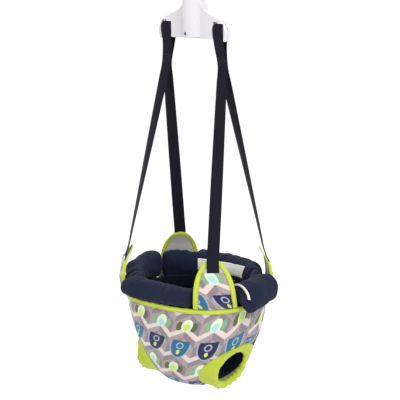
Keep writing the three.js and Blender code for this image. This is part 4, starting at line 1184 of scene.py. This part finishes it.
def collar_skirt():
    """Cloth that joins the collar's inner foot to the lining, round the inside of the rim."""
    out, up = MM * np.array(((-37, 12), (-31, 5), (-22, -6), (-13, -18), (-8.6, -30), (-7.4, -30),
                             (-11, -17.5), (-20, -4.5), (-28.5, 6.5), (-34, 12.5))).T
    rings = []
    for angle in ANGLES:
        shift = 1.2 * MM * math.sin(angle * 23 + 2 * math.sin(angle * 6))
        rings.append(at_angle(angle, rim_radius(angle) + out + shift * np.minimum(-out / (30 * MM), 1), up))
    return loft("collar_skirt", rings, looped=True)


finish_piece(collar_skirt(), "seat", "navy")
CORNER_DEGREES = math.degrees(CORNER_ANGLE)
FLAP_START = -CORNER_DEGREES + 19
COLLARS = (("front", 180 + CORNER_DEGREES - 0.8, 360 - CORNER_DEGREES - 1.2, collar_section, 1.0),
           ("left", FLAP_START, CORNER_DEGREES - 1.5, folded_section, 4.0),
           ("back", CORNER_DEGREES + 1.5, 164, collar_section, 7.0),
           ("right", 165.5, 180 + CORNER_DEGREES + 0.6, collar_section, 9.0))
collars = {}
for name, start, end, section, seed in COLLARS:
    pad = crumple(swell(loft("collar_pad_" + name, collar_rings(start, end, section)), 5 * MM), seed)
    collars[name] = finish_piece(pad, "seat", "navy", "collar_" + name)


def care_label():
    """A blank label that lies on the inside of the back collar."""
    rows, cols = 9, 60
    places, normals = np.zeros((2, rows + 1, cols + 1, 3))
    for i in range(rows + 1):
        z = RIM_Z + (28 + 30 * i / rows) * MM
        for j in range(cols + 1):
            angle = math.radians(54 + 74 * j / cols)
            ray = Vector((math.cos(angle), math.sin(angle), 0))
            _, places[i, j], normals[i, j], _ = collars["back"].ray_cast(Vector((0, 0, z)), ray)
    normals = units(normals)
    for _ in range(3):
        places[1:-1, 1:-1] = (places[:-2, 1:-1] + places[2:, 1:-1] + places[1:-1, :-2] + places[1:-1, 2:]) / 4
    layers = np.stack([places + normals * lift for lift in (0.5 * MM, 1.3 * MM)])
    uvs = [(j * 2.4 * MM, i * 3.3 * MM) for i in range(rows + 1) for j in range(cols + 1)]
    finish_piece(sheet_body("care_label_cloth", layers, uvs), "seat", "white_tape", "care_label")
    for part, row in (("low", 1), ("high", rows - 1)):
        stitches("label_stitching_" + part, (places + normals * 1.5 * MM)[row, 1:-1], normals[row, 1:-1],
                 "dark_thread", slot="white_fabric")


care_label()


def flap_tape():
    """White piping round the front end of the folded collar."""
    rings = []
    for turn in np.linspace(0, 1, 70):
        ring = []
        for offset, proud in ((0.3, -0.5), (0.6, 0.8), (1.4, 1.0), (2.0, -0.2), (1.4, -1), (0.6, -1)):
            angle = math.radians(FLAP_START + offset * 0.55)
            flat = grown(folded_section(angle, end_pinch(offset * 0.55 / END_DEGREES)), (proud + 2.2) / 30)
            out, up = interp_rows((turn * 0.62 + 0.02) * len(flat), np.arange(len(flat)), flat)
            ring.append(at_angle(angle, rim_radius(angle) + out, up))
        rings.append(ring)
    return loft("collar_edge_tape", rings)


finish_piece(flap_tape(), "seat", "white_tape")


# ---------------------------------------------------------------- doorway clamp

def moulding(name, node, body, paint, voxel, smoothing=6):
    """A CAD solid with its edges softened as a mould would leave them."""
    obj = link(name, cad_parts[node].data.copy())
    return finish_piece(remesh(obj, voxel, smoothing), body, paint, node)


for end in ("front", "rear"):
    moulding("clamp_moulding_" + end, "clamp_arm_" + end, "clamp_" + end, "white_plastic", 1.3 * MM)


def grip_pad(end):
    """A rubber pad with ribs across its gripping face."""
    node = "clamp_pad_" + end
    low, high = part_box(node)
    side = 1 if end == "rear" else -1
    back, face = (high.y, low.y) if side > 0 else (low.y, high.y)
    outline = [(back, low.z + 1 * MM), (back, high.z - 1 * MM)]
    for z in np.arange(high.z - 1 * MM, low.z, -4 * MM):
        outline += [(face, z), (face, z - 2.4 * MM), (face + side * 1.6 * MM, z - 2.9 * MM),
                    (face + side * 1.6 * MM, z - 3.5 * MM)]
    outline = round_corners([(y, max(z, low.z)) for y, z in outline], 0.35 * MM)
    rings = [[(x, y, z) for y, z in grown(outline, share)] for x, share in (
        (low.x, -0.06), (low.x + 0.5 * MM, -0.015), (low.x + 1.4 * MM, 0), (0, 0),
        (high.x - 1.4 * MM, 0), (high.x - 0.5 * MM, -0.015), (high.x, -0.06))]
    pad = finish_piece(loft("grip_pad_" + end, rings), "clamp_" + end, "rubber", node)
    pad.data.polygons.foreach_set("use_smooth", [False] * len(pad.data.polygons))


grip_pad("front")
grip_pad("rear")


def turned(name, node, body, profile, axis, centre, paint):
    """A round part turned from a profile of (radius, place along the axis), in mm."""
    finish_piece(lathe(name, MM * np.array(profile), axis, centre, 64), body, paint, node)


PIVOT = np.array((0, 0, PIVOT_Z))
turned("pivot_bolt_steel", "clamp_pivot_bolt", "clamp_pivot",
       [(0.05, -46.2), (3.4, -46.2), (4.0, -46.9), (6.4, -47), (7.4, -46.2), (7.5, -42.9), (7.1, -42.4),
        (4, -42.35), (3.95, 50), (3.2, 51), (0.05, 51)], 0, PIVOT, "zinc")
turned("strap_spool", "clamp_strap_spool", "clamp_pivot",
       [(4.4, -20.8), (7.2, -21), (7.5, -20.7), (7.5, -18.6), (10.4, -18.4), (11, -17.9), (11, -16.8),
        (10.4, -16.3), (7.6, -16.2), (7.45, -15.4), (7.4, 0), (7.45, 15), (10.4, 15.7), (11, 16),
        (11, 16.4), (10.6, 16.8), (4.4, 16.8)], 0, PIVOT, "grey_plastic")


def wire(name, points, radius, sides, step):
    """A round wire along a smooth path, with slightly rounded ends."""
    path = resample(points, step)
    along = units(np.gradient(path, axis=0))
    carried = np.cross(along[0], (0.13, 0.99, 0.05))
    rings = []
    for i, (at, direction) in enumerate(zip(path, along)):
        carried = unit(carried - direction * carried.dot(direction))
        other = np.cross(direction, carried)
        size = radius * (0.8 if i in (0, len(path) - 1) else 1)
        rings.append([at + (carried * math.cos(a) + other * math.sin(a)) * size
                      for a in turns(sides)])
    return loft(name, rings)


def torsion_points():
    """Two coils round the pivot bolt with a straight leg at each end, in mm from the pivot."""
    rest = 0.2
    sweep = 2 * TAU + 2 * rest
    turns = [(7, rest + 0.4 + (sweep - 0.8) * i / 16, 2.4 * i / 16) for i in range(17)]
    places = [(30, rest, 0), (18, rest, 0), *turns, (18, -rest, 2.4), (30, -rest, 2.4)]
    return [(18.2 + x, r * math.sin(angle), -r * math.cos(angle)) for r, angle, x in places]


torsion_spring = wire("torsion_spring_wire", MM * np.array(torsion_points()) + PIVOT, 0.8 * MM, 10, 0.7 * MM)
finish_piece(torsion_spring, "clamp_pivot", "spring", "clamp_torsion_spring")

# ---------------------------------------------------------------- hanging strap and its adjuster

SPOOL_PATH = SPOOL_R + GAP + WEB_T / 2
BAR_PATH = BAR_R + GAP + WEB_T / 2
LOWER_END = BAR_Z + 12 * MM
SIXTY = ADJUSTER_Z + (BAR_Z - ADJUSTER_Z) * 0.6  # 60% of the way from the adjuster to the bar
RUN_TOP, RUN_END = 24.7, 21


def strap_arc(radius, z, start, end, steps):
    return [(radius * math.cos(a), z + radius * math.sin(a)) for a in np.linspace(start, end, steps + 1)]


def route(*offsets, base=0.0):
    """Points (y, z) given in mm, from a height in metres."""
    return [(y * MM, base + z * MM) for y, z in offsets]


def strap_piece(name, points, body, step=2.0 * MM, paint="webbing"):
    """Webbing along a route of (y, z) points."""
    return finish_piece(web_loft(name, [(0, y, z, 1, 0, 0) for y, z in points], step), body, paint)


upper_loop = strap_piece("hanging_strap_loop", route((2.1, -34), (2.3, -24), (5.4, -12), base=PIVOT_Z)
                         + strap_arc(SPOOL_PATH, PIVOT_Z, -0.5, math.pi + 0.5, 12)
                         + route((-4, -13), (-0.4, -25), (0.1, -35.3), base=PIVOT_Z), "upper_strap")
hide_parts("hanging_strap")
run = strap_piece("hanging_strap_run", route((0.1, RUN_TOP), (2.9, RUN_END), base=ADJUSTER_Z), None,
                  step=0.05 * MM, paint="webbing_run")
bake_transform(run)
strap_piece("hanging_strap_threaded", route(
    (2.9, RUN_END), (2.95, 20), (3.1, 12.5), (2.2, 9), (-1.6, 4), (-2.9, 1), (-2.9, -1.5), (-2.6, -3),
    (1, -6.5), (4.6, -10), (5.3, -13), (5.2, -17), (5.0, -19), base=ADJUSTER_Z), "adjuster")
strap_piece("hanging_strap_tail", route((-2.8, -19), (-2.85, -16), (-2.7, -13), (-1.6, -11.3), (0, -10.8),
                                        (1.6, -11.3), (2.7, -13), (2.8, -16), (2.8, -18.2),
                                        base=ADJUSTER_Z), "adjuster")
for name, points in (
        ("front", route((-2.8, -19), (-2.9, -34), base=ADJUSTER_Z)
         + [(-2.9 * MM, SIXTY), (-3.5 * MM, LOWER_END)]),
        ("back", route((5.0, -19), (4.2, -24), (3.2, -34), base=ADJUSTER_Z)
         + [(3.2 * MM, SIXTY), (3.55 * MM, LOWER_END)])):
    run = strap_piece("hanging_strap_lower_" + name, points, "hanger")
    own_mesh(run)
strap_piece("hanging_strap_bar_loop", [(3.55 * MM, LOWER_END)]
            + strap_arc(BAR_PATH, BAR_Z, 0.1, -math.pi - 0.1, 10) + [(-3.5 * MM, LOWER_END)], "hanger")
for out, name in ((1, "back"), (-1, "front")):
    box_stitches("hanging_strap_box_" + name, np.array((0, (1.3 + out * 1.7) * MM, PIVOT_Z - 29 * MM)),
                 (0, 0, 1), (1, 0, 0), (0, out, 0), 9 * MM, 21 * MM, body="upper_strap")
moulding("adjuster_frame", "strap_adjuster", "adjuster", "grey_plastic", 0.55 * MM, 4)

# ---------------------------------------------------------------- spring unit

moulding("hanger_cap_moulding", "hanger_cap", "hanger", "white_plastic", 0.9 * MM)
turned("hanger_bar_steel", "hanger_bar", "hanger",
       [(0.05, -25.5), (5.6, -25.4), (6.4, -24.9), (6.4, -23.5), (4, -23.4), (4, 25.4), (3.5, 26),
        (0.05, 26)], 0, np.array((0, 0, BAR_Z)), "zinc")
GUARD_LOW, GUARD_HIGH = (p.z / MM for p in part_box("guard_tube"))
guard = [(20.5, GUARD_LOW + 0.6), (21, GUARD_LOW), (22.5, GUARD_LOW), (23, GUARD_LOW + 0.8)]
for z in np.arange(GUARD_LOW + 6, GUARD_HIGH - 6, 6):
    guard += [(23, z), (22.55, z + 0.5), (22.55, z + 1.1), (23, z + 1.6)]
guard += [(23, GUARD_HIGH - 0.6), (22.6, GUARD_HIGH), (20.9, GUARD_HIGH), (20.5, GUARD_HIGH - 0.5)]
turned("guard_tube_moulding", "guard_tube", "hanger", guard, 2, np.zeros(3), "grey_plastic")
for name, body, z, half in (("spring_upper_pin", "hanger", UPPER_PIN_Z, 19.5),
                            ("spring_lower_pin", "spreader", LOWER_PIN_Z, 26.9)):
    turned(name + "_steel", name, body,
           [(0.05, -half), (2.5, -half), (3, -half + 0.6), (3, half - 0.6), (2.5, half), (0.05, half)],
           1, np.array((0, 0, z)), "zinc")


def bounce_points():
    """The coil spring's path, from its lower end loop to its upper one."""
    middle = (UPPER_PIN_Z + LOWER_PIN_Z) / 2
    height = COIL_TURNS * COIL_PITCH
    bottom = middle - height / 2

    def loop(pin, side):
        return [(HOOK_R * math.cos(a), 0, pin + side * HOOK_R * math.sin(a))
                for a in np.radians((200, 150, 100, 50, 0))]
    points = loop(LOWER_PIN_Z, -1)
    points.append((HOOK_R + 1 * MM, 0, LOWER_PIN_Z + (bottom - LOWER_PIN_Z) * 0.55))
    count = COIL_TURNS * 14
    for i in range(count + 1):
        angle = i / 14 * TAU
        points.append((SPRING_R * math.cos(angle), SPRING_R * math.sin(angle), bottom + i / count * height))
    points.append((HOOK_R + 1 * MM, 0, UPPER_PIN_Z + (bottom + height - UPPER_PIN_Z) * 0.55))
    return points + loop(UPPER_PIN_Z, 1)[::-1]


coil = finish_piece(wire("bounce_spring_wire", bounce_points(), WIRE_R, 12, 1.6 * MM), None, "spring",
                    "bounce_spring")
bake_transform(coil)

# ---------------------------------------------------------------- spreader

NECK_SIDES = 28
NECK_WALL = (22 * MM, 31 * MM)
NECK_LOW = ROLLER_Z + 34.7 * MM
NECK_HIGH = NECK_LOW + 30 * MM


def round_neck(obj):
    """Makes the spreader's faceted neck truly round."""
    co = vectors(obj.data.vertices, "co")
    radius = np.hypot(co[:, 0], co[:, 1])
    step = TAU / NECK_SIDES
    off = (np.arctan2(co[:, 1], co[:, 0]) % step) - step / 2
    grow = np.cos(off) / math.cos(step / 2)
    share = smooth(co[:, 2], NECK_LOW, NECK_HIGH) * ((radius > NECK_WALL[0]) & (radius < NECK_WALL[1]))
    co[:, :2] *= (1 + (grow - 1) * share)[:, None]
    set_vertices(obj, co)


for end in ("front", "rear"):
    round_neck(moulding("spreader_moulding_" + end, "spreader_" + end + "_shell", "spreader",
                        "white_plastic", 0.9 * MM, 8))


def screw(node):
    """A pan head with a cross recess, on a plain shank."""
    low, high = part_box(node)
    x, z = (low.x + high.x) / 2, (low.z + high.z) / 2
    head_low = abs(low.y) > abs(high.y)
    face, tip = (low.y, high.y) if head_low else (high.y, low.y)
    inward = 1 if head_low else -1
    length = abs(tip - face) / MM
    profile = [(0.05, 0.0), (1.6, 0.02), (2.9, 0.35), (3.45, 1.0), (3.6, 2.1), (3.4, 2.4), (1.6, 2.42),
               (1.6, length - 1.2), (0.8, length), (0.05, length)]
    outline = [(r * MM, face + inward * h * MM) for r, h in profile]
    obj = lathe(node + "_steel", outline, 1, np.array((x, 0, z)), 48)
    for size in ((2.2, 1.3, 0.45), (0.45, 1.3, 2.2)):
        corners = [np.array((x, face, z)) + np.array(size) * MM * (i, j, k)
                   for i in (-1, 1) for j in (-1, 1) for k in (-1, 1)]
        faces = [(0, 1, 3, 2), (4, 6, 7, 5), (0, 4, 5, 1), (2, 3, 7, 6), (0, 2, 6, 4), (1, 5, 7, 3)]
        cutter = outward(mesh_object("cutter", corners, faces, smooth=False))
        modify(obj, "BOOLEAN", operation="DIFFERENCE", object=cutter)
        apply_modifiers(obj)
        bpy.data.objects.remove(cutter)
    # The screw's near-black colour is painted shade of the recess it sits in.
    finish_piece(obj, "spreader", "recess_shade_zinc", node)


for node in ("spreader_base_screw", "screw_wing_left", "screw_wing_right"):
    screw(node)
ROLLER = [(4.65, -20), (4.65, -15.4), (10.4, -15.3), (11.2, -14.6), (11.2, -12), (10.9, -11.5), (10.9, 11.5),
          (11.2, 12), (11.2, 14.6), (10.4, 15.3), (4.65, 15.4), (4.65, 20), (0.05, 20), (0.05, -20)]
for side, name in SIDES:
    turned("strap_roller_moulding_" + name, "strap_roller_" + name, "spreader", ROLLER, 0,
           np.array((side * HOOK_X, 0, ROLLER_Z)), "grey_plastic")

# ---------------------------------------------------------------- CAD solid that stays

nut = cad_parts["clamp_pivot_nut"]
nut.data.materials.clear()
nut.data.materials.append(PAINTS["zinc"][1])
modify(nut, "BEVEL", width=0.7 * MM, segments=3)


# ---------------------------------------------------------------- camera, stage and light

CAMERA_AZIMUTH = math.radians(40.2)
CAMERA_PITCH = math.radians(11.39)
CAMERA_ROLL = math.radians(-0.37)
CAMERA_DISTANCE = 3.518
CAMERA_LENS = 126
SENSOR = 36
AIM_BELOW_STRAPS = 0.4443
AIM_RIGHT = 0.0116


def turn(first, second, angle):
    """first and second, turned by an angle from first towards second."""
    c, s = math.cos(angle), math.sin(angle)
    return first * c + second * s, second * c - first * s


right, flat = turn(np.array((1, 0, 0)), np.array((0, 1, 0)), CAMERA_AZIMUTH)
forward, up = turn(flat, np.array((0, 0, 1)), -CAMERA_PITCH)
place = np.array((0, 0, STRAP_TOP - AIM_BELOW_STRAPS)) + right * AIM_RIGHT - forward * CAMERA_DISTANCE
camera = link("camera", bpy.data.cameras.new("camera"))
camera.data.lens = CAMERA_LENS
camera.data.sensor_width = SENSOR
camera.data.clip_end = 200
axes = np.stack([*turn(right, up, CAMERA_ROLL), -forward, place], 1)
camera.matrix_world = Matrix(np.vstack([axes, (0, 0, 0, 1)]).tolist())
bpy.context.scene.camera = camera

MIDDLE = Vector((0, 0, -0.8))
LIGHTS = (  # name, place (right of the camera's aim, away from the camera, height), size, power
    ("key", 1.3, -2.6, 1.2, 1.2, 66), ("fill", -2.6, -1.4, 0.4, 2.0, 10), ("back", 0.5, 2.2, 1.6, 1.6, 16))
for name, across, away, height, size, power in LIGHTS:
    light = link(name, bpy.data.lights.new(name, "AREA"))
    light.data.shape = "DISK"
    light.data.size = size
    light.data.energy = power
    light.location = Vector(right * across + flat * away) + Vector((0, 0, height))
    light.rotation_euler = (MIDDLE - light.location).to_track_quat("-Z", "Y").to_euler()

FLOOR_Z = cad_bounds[0][2] - 250 * MM
FLOOR_R = 24
floor = mesh_object("floor", [(FLOOR_R * math.cos(a), FLOOR_R * math.sin(a), FLOOR_Z)
                              for a in turns(64)], [tuple(range(64))], smooth=False)
floor.data.materials.append(Paint("pale_floor", (0.9, 0.9, 0.9), 0.9).material)

world = bpy.data.worlds.new("studio")
bpy.context.scene.world = world
world.use_nodes = True
world.node_tree.nodes["Background"].inputs["Color"].default_value = (1, 1, 1, 1)
world.node_tree.nodes["Background"].inputs["Strength"].default_value = 1.12
bpy.context.scene.view_settings.view_transform = "Standard"
